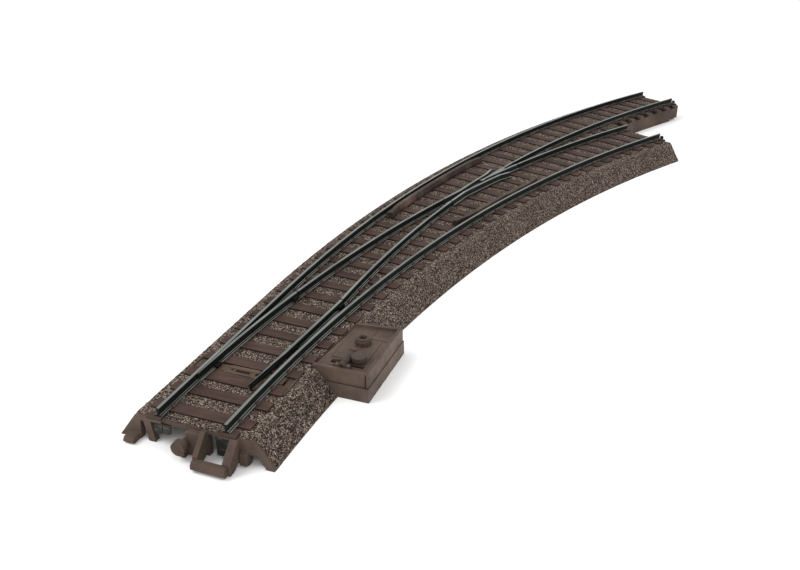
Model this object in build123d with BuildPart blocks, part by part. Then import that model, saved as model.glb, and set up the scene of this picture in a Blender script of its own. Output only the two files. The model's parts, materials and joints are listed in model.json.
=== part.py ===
from build123d import *
from math import asin, atan2, cos, degrees, hypot, pi, radians, sin, sqrt, tan
import os

os.makedirs("parts", exist_ok=True)

# Right-hand curved turnout for 16.5 mm gauge track on a hollow moulded roadbed.
# +X runs along the track at the toe (blade) end, +Y is to its left, +Z is up.
# The origin is the track centre at the toe end face, at the height of the base rim.

# ---------------------------------------------------------------- driving dimensions
GAUGE = 16.5
RADIUS = 515.0            # centre line radius of both routes
LEAD = 64.3               # straight run before the outer route starts to curve
SWEEP = 30.0              # degrees turned by each route
INNER = 0.0               # straight run before the inner route starts to curve
INNER_LENGTH = RADIUS * radians(SWEEP)
OUTER_LENGTH = LEAD + INNER_LENGTH

BASE_HALF = 20.0          # half width of the roadbed at its rim
SLOPE_TOP = (15.2, 6.5)   # upper end of the ballast slope: offset, height
SHOULDER = 14.6           # half width of the flat deck
DECK = 7.0                # ballast level
SKIN = 1.3                # wall thickness of the hollow roadbed
END_WALL = 1.5
CUT_WALL = -13.0          # upright wall on the outer route where the inner route has left it
FILL_WALL = 15.4          # reach of the inner route's deck towards the outer route
FILL_FROM = 165.0         # where that reach is needed

SLEEPER_TOP = 7.6
SLEEPER_WIDTH = 3.3
SLEEPER_HALF = 12.9       # half length of a plain sleeper
SLEEPER_FIRST = 4.6       # station of the first sleeper
TOE_SLEEPERS = (4.6, 12.2, 18.9, 26.6)
PANEL_WIDTH = 3.8         # the wider sleeper in front of the throw bar
PITCH = 7.67

RAIL_HEIGHT = 2.2
RAIL_TOP = SLEEPER_TOP + RAIL_HEIGHT
HEAD = 0.85
FOOT = 2.0
WEB = 0.6
RAIL = GAUGE / 2 + HEAD / 2   # rail centre to track centre
FLANGEWAY = 1.25
JOINT_GAP = 0.5

BLADE_TIP_X = 15.4
BLADE_HEEL_X = 61.4
PIVOT_X = 60.0
PIN_X = 22.8              # drop pins that the throw bar moves
THROW = 2.1               # travel of the throw bar
BLADE_SWING = degrees(THROW / (PIVOT_X - PIN_X))
BLADE_SET = 0.15          # degrees by which a closed blade leans off its stock rail
PLANING_GAP = 0.2 
BLADE_LIFT = 0.05         # the moving blades ride just above the sleepers
PIVOT_R = 0.5
PIN_R = 0.45
RUN_FIT = 0.04
PIN_INSET = 0.85          # drop pin centre towards the middle of the track

BAY = (21.0, 24.6)        # throw bar bay along the track
BAY_HALF = 13.2
BAY_FLOOR = 6.5
BAR = (21.3, 24.3)
BAR_BOTTOM = 6.55
BAR_TOP = 7.45
BAR_LEFT = 12.8
BAR_RIGHT = -10.9
BOSS = (22.8, -8.2)
BOSS_R = 0.9
LINK_Z = (3.6, 4.5)
LINK_X = 35.4

BOX_NEAR = 31.0           # throw box, four corners
BOX_FAR = 55.9
BOX_FAR_LEFT = 54.4
BOX_OUT = -29.25
BOX_LEFT_NEAR = -14.3
BOX_LEFT_FAR = -16.6
BOX_WALL = 1.0
BOX_SPLIT = 4.0
BOX_TOP = 8.0
COVER_INSET = 0.25
PAN = 7.2
PAN_UNDER = 6.4
RIM = 1.0
BOTTOM_Z = (0.2, 1.2)

AXLE_Y = -21.6            # hand lever axle
AXLE_Z = 8.2
AXLE_R = 0.45
LEVER_X = 37.0
HUB_R = 0.85
FINGER_X = (34.95, 35.65)
LEVER_SWING = 166.0
FINGER = 3.4
DISC_REACH = 2.6
DISC_R = 2.0

LANTERN = (45.8, -21.8)
LANTERN_R = 2.1
LANTERN_BORE = 1.1
LANTERN_TOP = 9.1
LANTERN_FLOOR = 7.6
STEM_R = 0.75
PINION_TEETH = 10
PINION_PITCH = THROW / (pi / 2)
MODULE = 2 * PINION_PITCH / PINION_TEETH
PRESSURE = radians(25)
BACKLASH = 0.06
GEAR_Z = (3.6, 4.6)

FROG_START_LEFT = 144.6
FROG_START_RIGHT = 143.9
FROG_NOSE = 166.0
FROG_END_LEFT = 190.9
FROG_END_RIGHT = 192.2
WING_STRAIGHT_END = 176.0
WING_END = 181.2
FROG_FLOOR = 8.7
FROG_FOOT = 8.1
V_FILL_END = 184.0


# ---------------------------------------------------------------- geometry helpers
def route_plane(lead, station):
    """Plane across a route: local x is the offset to the left, local y the height."""
    turn = max(station - lead, 0) / RADIUS
    along = min(station, lead)
    origin = (along + RADIUS * sin(turn), RADIUS * (cos(turn) - 1), 0)
    return Plane(origin=origin, x_dir=(sin(turn), cos(turn), 0), z_dir=(cos(turn), -sin(turn), 0))


def route_point(lead, station, offset):
    """Plan position at a station and offset on a route."""
    turn = max(station - lead, 0) / RADIUS
    along = min(station, lead)
    reach = RADIUS + offset
    return (along + reach * sin(turn), reach * cos(turn) - RADIUS)


def station_at(lead, offset, x):
    """Station where the line at this offset passes a given x."""
    return x if x <= lead else lead + RADIUS * asin((x - lead) / (RADIUS + offset))


def line_point(lead, offset, x):
    """Plan position where the line at this offset passes a given x."""
    return route_point(lead, station_at(lead, offset, x), offset)


def lay(outline, lead, start, finish, mode=Mode.ADD):
    """Run a cross-section along a route between two stations."""
    if start < lead:
        with BuildSketch(route_plane(lead, start)) as profile:
            with BuildLine():
                Polyline(*outline, close=True)
            make_face()
        extrude(profile.sketch, amount=min(finish, lead) - start, mode=mode)
    if finish > lead:
        first = max(start, lead)
        with BuildSketch(route_plane(lead, first)) as profile:
            with BuildLine():
                Polyline(*outline, close=True)
            make_face()
        pivot_axis = Axis((lead, -RADIUS, 0), (0, 0, -1))
        revolve(profile.sketch, axis=pivot_axis, revolution_arc=degrees((finish - first) / RADIUS), mode=mode)


def slab(points, bottom, top, mode=Mode.ADD):
    """Upright prism over a plan outline."""
    with BuildSketch(Plane.XY.offset(bottom)) as profile:
        with BuildLine():
            Polyline(*points, close=True)
        make_face()
    extrude(profile.sketch, amount=top - bottom, mode=mode)


def disc(centre, radius, bottom, top, mode=Mode.ADD):
    """Upright round post or hole."""
    with BuildSketch(Plane.XY.offset(bottom)) as profile:
        with Locations(centre):
            Circle(radius)
    extrude(profile.sketch, amount=top - bottom, mode=mode)


def strip(outline_from, outline_to, bottom, top, width, mode=Mode.ADD):
    """Straight flat bar between two plan points."""
    run = (outline_to[0] - outline_from[0], outline_to[1] - outline_from[1])
    middle = ((outline_from[0] + outline_to[0]) / 2, (outline_from[1] + outline_to[1]) / 2)
    with BuildSketch(Plane.XY.offset(bottom)) as profile:
        with Locations(middle):
            Rectangle(hypot(*run), width, rotation=degrees(atan2(run[1], run[0])))
    extrude(profile.sketch, amount=top - bottom, mode=mode)


def block(x_range, y_range, z_range, mode=Mode.ADD):
    """Box given by its limits."""
    slab([(x_range[0], y_range[0]), (x_range[1], y_range[0]),
          (x_range[1], y_range[1]), (x_range[0], y_range[1])], z_range[0], z_range[1], mode)


def rail_outline(offset, base=SLEEPER_TOP, grow=0.0):
    """Flat-bottomed rail section, optionally grown sideways and upwards."""
    half = [(FOOT / 2 + grow, base - grow), (FOOT / 2 + grow, SLEEPER_TOP + 0.2 + grow),
            (WEB / 2 + grow, SLEEPER_TOP + 0.45 + grow), (WEB / 2 + grow, RAIL_TOP - 0.7 - grow),
            (HEAD / 2 + grow, RAIL_TOP - 0.55 - grow), (HEAD / 2 + grow, RAIL_TOP - 0.1 + grow),
            (HEAD / 2 - 0.1, RAIL_TOP + grow)]
    right = [(offset + x, z) for x, z in half]
    left = [(offset - x, z) for x, z in reversed(half)]
    return right + left


def bed_outline(inset, left=BASE_HALF, right=BASE_HALF, floor=0.0):
    """Roadbed section; a side narrower than the base ends in an upright wall."""
    slope = (BASE_HALF - SLOPE_TOP[0]) / SLOPE_TOP[1]
    top = DECK - inset
    thin = inset * sqrt(1 + slope ** 2)

    def side(reach):
        if reach < BASE_HALF:
            return [(reach - inset, floor), (reach - inset, top)]
        return [(BASE_HALF - thin, floor), (SLOPE_TOP[0] - thin, SLOPE_TOP[1] - inset / 2),
                (SHOULDER - thin, top)]

    return side(left) + [(-x, z) for x, z in reversed(side(right))]


def turned(point, centre, angle):
    """Plan point turned about a centre by an angle in degrees."""
    a = radians(angle)
    dx, dy = point[0] - centre[0], point[1] - centre[1]
    return (centre[0] + dx * cos(a) - dy * sin(a), centre[1] + dx * sin(a) + dy * cos(a))


def end_plane(lead, station, direction):
    """Plane level with the base at a track end: local x points out of the end."""
    turn = max(station - lead, 0) / RADIUS
    heading = (direction * cos(turn), -direction * sin(turn), 0)
    x, y = route_point(lead, station, 0)
    return Plane(origin=(x, y, 0), x_dir=heading, z_dir=(0, 0, 1))


ENDS = {
    "toe": end_plane(INNER, 0, -1),
    "inner": end_plane(INNER, INNER_LENGTH, 1),
    "outer": end_plane(LEAD, OUTER_LENGTH, 1),
}


def end_cut(plane, points, depth, mode=Mode.SUBTRACT):
    """Prism along the track over an outline (across, height) drawn on a track end face."""
    face_plane = Plane(origin=plane.origin, x_dir=plane.y_dir, z_dir=plane.x_dir)
    with BuildSketch(face_plane) as profile:
        with BuildLine():
            Polyline(*points, close=True)
        make_face()
    extrude(profile.sketch, amount=depth, both=True, mode=mode)


def side_prism(plane, across, points, width, mode=Mode.ADD):
    """Prism across the track over an outline (outwards, height), starting at an offset."""
    origin = plane.origin + plane.y_dir * (across + width)
    side_plane = Plane(origin=origin, x_dir=plane.x_dir, z_dir=plane.y_dir * -1)
    with BuildSketch(side_plane) as profile:
        with BuildLine():
            Polyline(*points, close=True)
        make_face()
    extrude(profile.sketch, amount=width, mode=mode)


# ---------------------------------------------------------------- sleepers
def long_sleeper(station):
    """Centre, length and angle of a sleeper that carries both routes."""
    inner_turn = station / RADIUS
    spread = 0.0
    for _ in range(6):
        x, y = route_point(INNER, station, 0)
        outer_turn = asin(max((x + spread * sin(inner_turn) - LEAD) / RADIUS, 0))
        mean = (inner_turn + outer_turn) / 2
        outer_x = LEAD + RADIUS * sin(outer_turn) if outer_turn > 0 else x
        outer_y = RADIUS * (cos(outer_turn) - 1)
        spread = (outer_x - x) * sin(mean) + (outer_y - y) * cos(mean)
    low, high = -SLEEPER_HALF, spread + SLEEPER_HALF
    middle = (low + high) / 2
    return (x + middle * sin(mean), y + middle * cos(mean)), high - low, -degrees(mean)


def sleeper_block(centre, length, angle, width=SLEEPER_WIDTH, bottom=DECK - 0.3):
    with BuildSketch(Plane.XY.offset(bottom)) as profile:
        with Locations(centre):
            Rectangle(width, length, rotation=angle)
    extrude(profile.sketch, amount=SLEEPER_TOP - bottom)


LONG_STATIONS = list(TOE_SLEEPERS)
while LONG_STATIONS[-1] + PITCH < INNER_LENGTH - 3.5:
    LONG_STATIONS.append(LONG_STATIONS[-1] + PITCH)
OUTER_STATIONS = [OUTER_LENGTH - SLEEPER_FIRST - PITCH * k for k in range(7)]


# ---------------------------------------------------------------- throw box outlines
def box_outline(inset):
    """Throw box in plan, its three outer faces moved in; the side to the track stays."""
    lean = (BOX_FAR - BOX_FAR_LEFT) / (BOX_LEFT_FAR - BOX_OUT)
    fall = (BOX_LEFT_FAR - BOX_LEFT_NEAR) / (BOX_FAR_LEFT - BOX_NEAR)
    far = inset * sqrt(1 + lean ** 2)
    out = BOX_OUT + inset
    near_y = BOX_LEFT_NEAR + fall * inset
    far_y = BOX_LEFT_FAR - fall * far / (1 + lean * fall)
    far_x = BOX_FAR_LEFT - far / (1 + lean * fall)
    return [(BOX_NEAR + inset, near_y), (BOX_NEAR + inset, out),
            (BOX_FAR - far - inset * lean, out), (far_x, far_y)]


def box_core(inset, left_gap):
    """Inside of the throw box, reaching past or short of the side to the track."""
    near_left, near_out, far_out, far_left = box_outline(inset)
    return [(near_left[0], near_left[1] - left_gap), near_out, far_out,
            (far_left[0], far_left[1] - left_gap)]


# ---------------------------------------------------------------- jumper strips
JUMPER_Z = (4.5, 4.9)
JUMPERS = {
    "jumper_left_front": (line_point(LEAD, RAIL, 92.0), line_point(INNER, RAIL, 94.0)),
    "jumper_right_front": (line_point(INNER, -RAIL, 104.0), line_point(LEAD, -RAIL, 106.0)),
    "jumper_left_rear": (line_point(LEAD, RAIL, 222.0), line_point(INNER, RAIL, 209.0)),
    "jumper_right_rear": (line_point(INNER, -RAIL, 222.0), line_point(LEAD, -RAIL, 237.0)),
}
FROG_FEED = (line_point(INNER, RAIL, 150.0), line_point(INNER, -2.0, 128.0))
TERMINALS = {"feeder_terminal_left": RAIL, "feeder_terminal_right": -RAIL}
TERMINAL_X = (5.5, 12.5)
RISER = 0.5


def riser(point, grow=0.0, mode=Mode.ADD):
    disc(point, RISER + grow, JUMPER_Z[1] - 0.1 - grow, SLEEPER_TOP + grow, mode)


RISER_POINTS = [p for pair in JUMPERS.values() for p in pair] + [FROG_FEED[0]]
RISER_POINTS += [(TERMINAL_X[0] + 1.2, y) for y in TERMINALS.values()]


# ---------------------------------------------------------------- roadbed
LOOP_OPENING = [(3.8, -1), (3.8, 6.0), (10.0, 6.0), (10.0, -1)]
PEG_OPENING = [(-0.9, -1), (-0.9, 6.1), (-2.6, 6.1), (-5.4, 5.5), (-11.2, 5.5), (-10.4, -1)]
LEG_OPENING = [(-12.1, -1), (-13.1, 5.3), (-13.9, 5.3), (-14.5, -1)]
FLANK_OPENING = [(13.7, -1), (13.7, 3.0), (15.9, 3.2), (17.7, 0.6), (18.0, -1)]
CHEEK = [(-1.5, 6.9), (0.9, 6.9), (4.9, 3.1), (4.9, 0.3), (3.4, 0.3), (0.6, 1.5), (-1.5, 3.0)]
BAR_SHAPE = [(4.6, 0.3), (5.9, 0.3), (6.5, 0.9), (6.5, 1.9), (5.9, 2.6), (4.6, 2.6)]
LEG_SHAPE = [(-1.5, 0.0), (2.2, 0.0), (2.8, 0.5), (2.8, 1.1), (2.2, 1.6), (-1.5, 1.8)]
HOOK_SHAPE = [(0.9, 0.3), (2.9, 0.3), (2.9, 1.3), (0.9, 1.3)]
BRACKET_SHAPE = [(-1.5, 0.3), (1.5, 0.3), (1.5, 6.4), (-1.5, 6.4)]
FLANK_SHAPE = [(-1.5, 0.6), (1.1, 0.6), (1.1, 3.4), (-1.5, 5.0)]
RAIL_BLOCK_SHAPE = [(-1.4, 6.4), (0.8, 6.4), (0.8, 7.2), (0.5, 7.6), (-1.4, 7.6)]
# offset across the track at which each shape starts, and its width
CHEEKS = ((2.6, 1.2), (10.0, 1.9))
LATCH_BAR = (2.9, 8.3)
BRACKET = (-0.9, 3.5)
FLANK = (12.1, 1.7)
HOOK = (-2.2, 1.4)
LEG = (-17.2, 2.6)
RAIL_BLOCKS = ((-11.5, 3.8), (7.2, 4.2))
OPENING_DEPTH = 2.2
PEG_CENTRE = (-1.5, 3.4)
PEG_R = 1.75
PEG_NECK_R = 0.9
PEG_NECK = (0.9, 1.6)     # distance out of the end face, and length
PEG_HEAD = (2.5, 1.8)


def track_end(plane, has_leg):
    """Snap connector moulded on each end: latch loop, peg, hook, rail blocks and openings."""
    openings = [LOOP_OPENING, PEG_OPENING, FLANK_OPENING]
    if has_leg:
        openings.append(LEG_OPENING)
    for opening in openings:
        end_cut(plane, opening, OPENING_DEPTH)
    for across, width in CHEEKS:
        side_prism(plane, across, CHEEK, width)
    side_prism(plane, LATCH_BAR[0], BAR_SHAPE, LATCH_BAR[1])
    side_prism(plane, BRACKET[0], BRACKET_SHAPE, BRACKET[1])
    side_prism(plane, FLANK[0], FLANK_SHAPE, FLANK[1])
    face_plane = Plane(origin=plane.origin, x_dir=plane.y_dir, z_dir=plane.x_dir)
    for (distance, length), radius in ((PEG_NECK, PEG_NECK_R), (PEG_HEAD, PEG_R)):
        with BuildSketch(face_plane.offset(distance)) as profile:
            with Locations(PEG_CENTRE):
                Circle(radius)
        extrude(profile.sketch, amount=length)
    side_prism(plane, HOOK[0], HOOK_SHAPE, HOOK[1])
    for across, width in RAIL_BLOCKS:
        side_prism(plane, across, RAIL_BLOCK_SHAPE, width)
    if has_leg:
        side_prism(plane, LEG[0], LEG_SHAPE, LEG[1])


BED_CENTRE = 10           # offset that both routes' roadbeds share
BED_SINK = 0.3            # how far moulded details start below the deck
BAY_END_X = (17.6, 26.4)  # raised ends of the throw bar bay
BAY_END_OFFSETS = (13.15, 13.7)
BAY_END_TOP = 7.4
BAY_PAD_X = (19.6, 26.0)  # deck thickened under the bay
BAY_PAD_HALF = 14.2
BAY_LEDGE = (-11.4, 6.9)      # ledge in the bay's right end: its left edge and height
RIB_Z = (4.9, 6.0)        # stiffening ribs under the deck
RIB_FIRST = 46.0
RIB_HALF = 0.4
RIB_SHIFT = 5.0
RIB_REACH = (12.0, 14.0)
POCKET_HALF = 2.3         # pockets at the sleeper ends
POCKET_DEPTH = 2.0
POCKET_FLOOR = 6.0
WALL_STEP = 6.2           # length of the step at the foot of the upright wall
OUTER_SLEEPER_SHIFT = 0.8
PIVOT_FLOOR = 6.2
SLOT_PLAY = 0.3


with BuildPart() as roadbed:
    lay(bed_outline(0, right=-CUT_WALL), LEAD, 0, OUTER_LENGTH)
    lay(bed_outline(0, left=-CUT_WALL), INNER, 0, INNER_LENGTH)
    lay([(BED_CENTRE, 0), (FILL_WALL, 0), (FILL_WALL, DECK), (BED_CENTRE, DECK)], INNER, FILL_FROM,
        INNER_LENGTH)
    # sleepers and the ends of the throw bar bay, moulded on the deck
    for station in LONG_STATIONS:
        centre, length, angle = long_sleeper(station)
        width = PANEL_WIDTH if station == TOE_SLEEPERS[2] else SLEEPER_WIDTH
        sleeper_block(centre, length, angle, width)
    for station in OUTER_STATIONS:
        turn = (station - LEAD) / RADIUS
        sleeper_block(route_point(LEAD, station, OUTER_SLEEPER_SHIFT),
                      2 * (SLEEPER_HALF - OUTER_SLEEPER_SHIFT), -degrees(turn))
    for side in (-1, 1):
        block(BAY_END_X, sorted(side * offset for offset in BAY_END_OFFSETS), (DECK - BED_SINK, BAY_END_TOP))
    # hollow underside, then the deck is thickened again around the throw bar
    lay(bed_outline(SKIN, right=-CUT_WALL, floor=-1), LEAD, END_WALL, OUTER_LENGTH - END_WALL,
        Mode.SUBTRACT)
    lay(bed_outline(SKIN, left=-CUT_WALL, floor=-1), INNER, END_WALL, INNER_LENGTH - END_WALL,
        Mode.SUBTRACT)
    lay([(BED_CENTRE, -1), (FILL_WALL - SKIN, -1), (FILL_WALL - SKIN, DECK - SKIN),
         (BED_CENTRE, DECK - SKIN)], INNER, FILL_FROM + 5, INNER_LENGTH - END_WALL, Mode.SUBTRACT)
    block(BAY_PAD_X, (-BAY_PAD_HALF, BAY_PAD_HALF), RIB_Z)
    for rib_station in [RIB_FIRST + 2 * PITCH * k for k in range(15)]:
        lay([(-RIB_REACH[1], RIB_Z[0]), (BED_CENTRE, RIB_Z[0]), (BED_CENTRE, RIB_Z[1]),
             (-RIB_REACH[1], RIB_Z[1])], INNER, rib_station - RIB_HALF, rib_station + RIB_HALF)
        lay([(-RIB_REACH[0], RIB_Z[0]), (RIB_REACH[1], RIB_Z[0]), (RIB_REACH[1], RIB_Z[1]),
             (-RIB_REACH[0], RIB_Z[1])], LEAD, rib_station + RIB_SHIFT - RIB_HALF,
            rib_station + RIB_SHIFT + RIB_HALF)
    # throw bar bay with its floor slot for the drive boss
    block(BAY, (-BAY_HALF, BAY_HALF), (BAY_FLOOR, SLEEPER_TOP + 1), Mode.SUBTRACT)
    slot_half = BOSS_R + SLOT_PLAY
    block((BOSS[0] - slot_half, BOSS[0] + slot_half), (BOSS[1] - slot_half - THROW, BOSS[1] + slot_half),
          (RIB_Z[0] - 1, BAY_FLOOR), Mode.SUBTRACT)
    block(BAY, (-BAY_HALF - 0.05, BAY_LEDGE[0]), (BAY_FLOOR - 0.1, BAY_LEDGE[1]))
    for plane, has_leg in ((ENDS["toe"], True), (ENDS["inner"], False), (ENDS["outer"], False)):
        track_end(plane, has_leg)
    # pockets at the sleeper ends along the upright wall, and the step at its foot
    for station in OUTER_STATIONS:
        lay([(CUT_WALL - 0.1, POCKET_FLOOR), (CUT_WALL + POCKET_DEPTH, POCKET_FLOOR),
             (CUT_WALL + POCKET_DEPTH, SLEEPER_TOP + 1), (CUT_WALL - 0.1, SLEEPER_TOP + 1)],
            LEAD, station - POCKET_HALF, station + POCKET_HALF, Mode.SUBTRACT)
    lay([(CUT_WALL - 1, -1), (CUT_WALL + SKIN + 0.4, -1), (CUT_WALL + SKIN + 0.4, 1.0),
         (CUT_WALL - 1, 1.0)], LEAD, OUTER_LENGTH - WALL_STEP, OUTER_LENGTH + 1, Mode.SUBTRACT)
    # notch that the throw box stands in, clearance round the blade pivots and the risers
    slab(box_outline(0), -1, BOX_TOP + 1, Mode.SUBTRACT)
    for route, offset in ((INNER, RAIL), (LEAD, -RAIL)):
        disc(line_point(route, offset, PIVOT_X), PIVOT_R, PIVOT_FLOOR, SLEEPER_TOP + 1, Mode.SUBTRACT)
    for point in RISER_POINTS:
        riser(point, 0.02, Mode.SUBTRACT)
roadbed.part.label = "roadbed"


# ---------------------------------------------------------------- rails
with BuildPart() as stock_rail_left:
    lay(rail_outline(RAIL), LEAD, 0, OUTER_LENGTH)
stock_rail_left.part.label = "stock_rail_left"

with BuildPart() as stock_rail_right:
    lay(rail_outline(-RAIL), INNER, 0, INNER_LENGTH)
stock_rail_right.part.label = "stock_rail_right"

with BuildPart() as closure_rail_left:
    lay(rail_outline(RAIL), INNER, station_at(INNER, RAIL, BLADE_HEEL_X + JOINT_GAP),
        station_at(INNER, RAIL, FROG_START_LEFT - JOINT_GAP))
closure_rail_left.part.label = "closure_rail_left"

with BuildPart() as closure_rail_right:
    lay(rail_outline(-RAIL), LEAD, station_at(LEAD, -RAIL, BLADE_HEEL_X + JOINT_GAP),
        station_at(LEAD, -RAIL, FROG_START_RIGHT - JOINT_GAP))
closure_rail_right.part.label = "closure_rail_right"

with BuildPart() as inner_route_left_rail:
    lay(rail_outline(RAIL), INNER, station_at(INNER, RAIL, FROG_END_LEFT + JOINT_GAP), INNER_LENGTH)
inner_route_left_rail.part.label = "inner_route_left_rail"

with BuildPart() as outer_route_right_rail:
    lay(rail_outline(-RAIL), LEAD, station_at(LEAD, -RAIL, FROG_END_RIGHT + JOINT_GAP), OUTER_LENGTH)
outer_route_right_rail.part.label = "outer_route_right_rail"


# ---------------------------------------------------------------- switch blades
HEEL_BLOCK = (1.3, 1.0, 1.4)      # half length, half width and height
PIN_ARM = (1.0, 0.6, 0.65)


def blade_details(pivot, pin):
    """Heel block with its pivot bore, and the drop pin under the foot."""
    bottom = SLEEPER_TOP + BLADE_LIFT
    for centre, (half_x, half_y, height) in ((pivot, HEEL_BLOCK), (pin, PIN_ARM)):
        block((centre[0] - half_x, centre[0] + half_x), (centre[1] - half_y, centre[1] + half_y),
              (bottom, bottom + height))
    disc(pivot, PIVOT_R + RUN_FIT, bottom - 0.1, bottom + 1.0, Mode.SUBTRACT)
    disc(pin, PIN_R, BAR_BOTTOM + 0.15, bottom + 0.2)


PIVOT_LEFT = line_point(INNER, RAIL, PIVOT_X)
PIVOT_RIGHT = line_point(LEAD, -RAIL, PIVOT_X)
PIN_LEFT_ROUTE = line_point(INNER, RAIL, PIN_X)
PIN_LEFT = turned(PIN_LEFT_ROUTE, PIVOT_LEFT, BLADE_SET)
PIN_LEFT = (PIN_LEFT[0], PIN_LEFT[1] - PIN_INSET)
PIN_RIGHT_CLOSED = turned((PIN_X, -RAIL), PIVOT_RIGHT, -BLADE_SET)
PIN_RIGHT_CLOSED = (PIN_RIGHT_CLOSED[0], PIN_RIGHT_CLOSED[1] + PIN_INSET)
PIN_RIGHT = turned(PIN_RIGHT_CLOSED, PIVOT_RIGHT, -BLADE_SWING)

BLADE_BASE = SLEEPER_TOP + BLADE_LIFT
with BuildPart() as left_blank:
    lay(rail_outline(RAIL, BLADE_BASE), INNER, station_at(INNER, RAIL, BLADE_TIP_X),
        station_at(INNER, RAIL, BLADE_HEEL_X))
with BuildPart() as switch_blade_left:
    add(left_blank.part.rotate(Axis((*PIVOT_LEFT, 0), (0, 0, 1)), BLADE_SET))
    blade_details(PIVOT_LEFT, PIN_LEFT)
    lay(rail_outline(RAIL, grow=PLANING_GAP), LEAD, 0, LEAD, Mode.SUBTRACT)
switch_blade_left.part.label = "switch_blade_left"

with BuildPart() as right_blank:
    lay(rail_outline(-RAIL, BLADE_BASE), LEAD, BLADE_TIP_X, BLADE_HEEL_X)
with BuildPart() as right_closed:
    add(right_blank.part.rotate(Axis((*PIVOT_RIGHT, 0), (0, 0, 1)), -BLADE_SET))
    blade_details(PIVOT_RIGHT, PIN_RIGHT_CLOSED)
    lay(rail_outline(-RAIL, grow=PLANING_GAP), INNER, 0, LEAD, Mode.SUBTRACT)
with BuildPart() as switch_blade_right:
    add(right_closed.part.rotate(Axis((*PIVOT_RIGHT, 0), (0, 0, 1)), -BLADE_SWING))
switch_blade_right.part.label = "switch_blade_right"

with BuildPart() as blade_pivot_pins:
    for pivot in (PIVOT_LEFT, PIVOT_RIGHT):
        disc(pivot, PIVOT_R, PIVOT_FLOOR, SLEEPER_TOP + 0.95)
blade_pivot_pins.part.label = "blade_pivot_pins"


# ---------------------------------------------------------------- frog and check rails
def head_outline(offset):
    return [(offset - HEAD / 2, FROG_FOOT - 0.1), (offset + HEAD / 2, FROG_FOOT - 0.1),
            (offset + HEAD / 2, RAIL_TOP), (offset - HEAD / 2, RAIL_TOP)]


WING_SHIFT = HEAD + FLANGEWAY     # centre distance from a wing rail to the rail it guards
KNUCKLE_LEFT_X = 154.5
KNUCKLE_RIGHT_X = 154.0
KNUCKLE_LEFT = line_point(INNER, RAIL, KNUCKLE_LEFT_X)
KNUCKLE_RIGHT = line_point(LEAD, -RAIL, KNUCKLE_RIGHT_X)
WING_FLARE = 0.9
WING_LEFT_TIP = (WING_END, line_point(LEAD, -RAIL + WING_SHIFT, WING_END)[1] + WING_FLARE)
WING_RIGHT_TIP = (WING_END - 0.8, line_point(INNER, RAIL - WING_SHIFT, WING_END)[1] - WING_FLARE)


def frog_plan(reach, first, last):
    """Plan outline between the wing rails and the vee, pushed outwards by reach."""
    left_line = [line_point(INNER, RAIL + reach, FROG_START_LEFT),
                 (KNUCKLE_LEFT[0], KNUCKLE_LEFT[1] + reach),
                 line_point(LEAD, -RAIL + WING_SHIFT + reach, 166),
                 line_point(LEAD, -RAIL + WING_SHIFT + reach, 176),
                 (WING_LEFT_TIP[0], WING_LEFT_TIP[1] + reach), line_point(LEAD, -RAIL + 1, 183),
                 line_point(LEAD, -RAIL + 1, FROG_END_RIGHT)]
    right_line = [line_point(LEAD, -RAIL - reach, FROG_START_RIGHT),
                  (KNUCKLE_RIGHT[0], KNUCKLE_RIGHT[1] - reach),
                  line_point(INNER, RAIL - WING_SHIFT - reach, 165),
                  line_point(INNER, RAIL - WING_SHIFT - reach, 175),
                  (WING_RIGHT_TIP[0], WING_RIGHT_TIP[1] - reach), line_point(INNER, RAIL - 1, 182),
                  line_point(INNER, RAIL - 1, FROG_END_LEFT)]
    return left_line[first:last] + list(reversed(right_line[first:last]))


with BuildPart() as frog:
    slab(frog_plan(1.0, 0, 7), SLEEPER_TOP, FROG_FOOT)
    slab(frog_plan(0.3, 1, 6), FROG_FOOT, FROG_FLOOR)
    # the two legs up to their knuckles, then each bent off as a wing rail with a flared end
    lay(head_outline(RAIL), INNER, station_at(INNER, RAIL, FROG_START_LEFT),
        station_at(INNER, RAIL, KNUCKLE_LEFT_X))
    lay(head_outline(-RAIL), LEAD, station_at(LEAD, -RAIL, FROG_START_RIGHT),
        station_at(LEAD, -RAIL, KNUCKLE_RIGHT_X))
    lay(head_outline(-RAIL + WING_SHIFT), LEAD, station_at(LEAD, -RAIL + WING_SHIFT, KNUCKLE_LEFT_X - 0.2),
        station_at(LEAD, -RAIL + WING_SHIFT, WING_STRAIGHT_END))
    lay(head_outline(RAIL - WING_SHIFT), INNER, station_at(INNER, RAIL - WING_SHIFT, KNUCKLE_RIGHT_X - 0.2),
        station_at(INNER, RAIL - WING_SHIFT, WING_STRAIGHT_END))
    strip(line_point(LEAD, -RAIL + WING_SHIFT, WING_STRAIGHT_END - 0.3), WING_LEFT_TIP,
          FROG_FOOT - 0.1, RAIL_TOP, HEAD)
    strip(line_point(INNER, RAIL - WING_SHIFT, WING_STRAIGHT_END - 0.3), WING_RIGHT_TIP,
          FROG_FOOT - 0.1, RAIL_TOP, HEAD)
    # the vee from its nose to the two joints
    lay(head_outline(RAIL), INNER, station_at(INNER, RAIL, FROG_NOSE + 1.5),
        station_at(INNER, RAIL, FROG_END_LEFT))
    lay(head_outline(-RAIL), LEAD, station_at(LEAD, -RAIL, FROG_NOSE + 1.5),
        station_at(LEAD, -RAIL, FROG_END_RIGHT))
    slab([line_point(LEAD, -RAIL, V_FILL_END), line_point(LEAD, -RAIL, 176), (FROG_NOSE, -18.75),
          line_point(INNER, RAIL, 176), line_point(INNER, RAIL, V_FILL_END)],
         FROG_FOOT - 0.1, RAIL_TOP)
frog.part.label = "frog"

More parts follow.
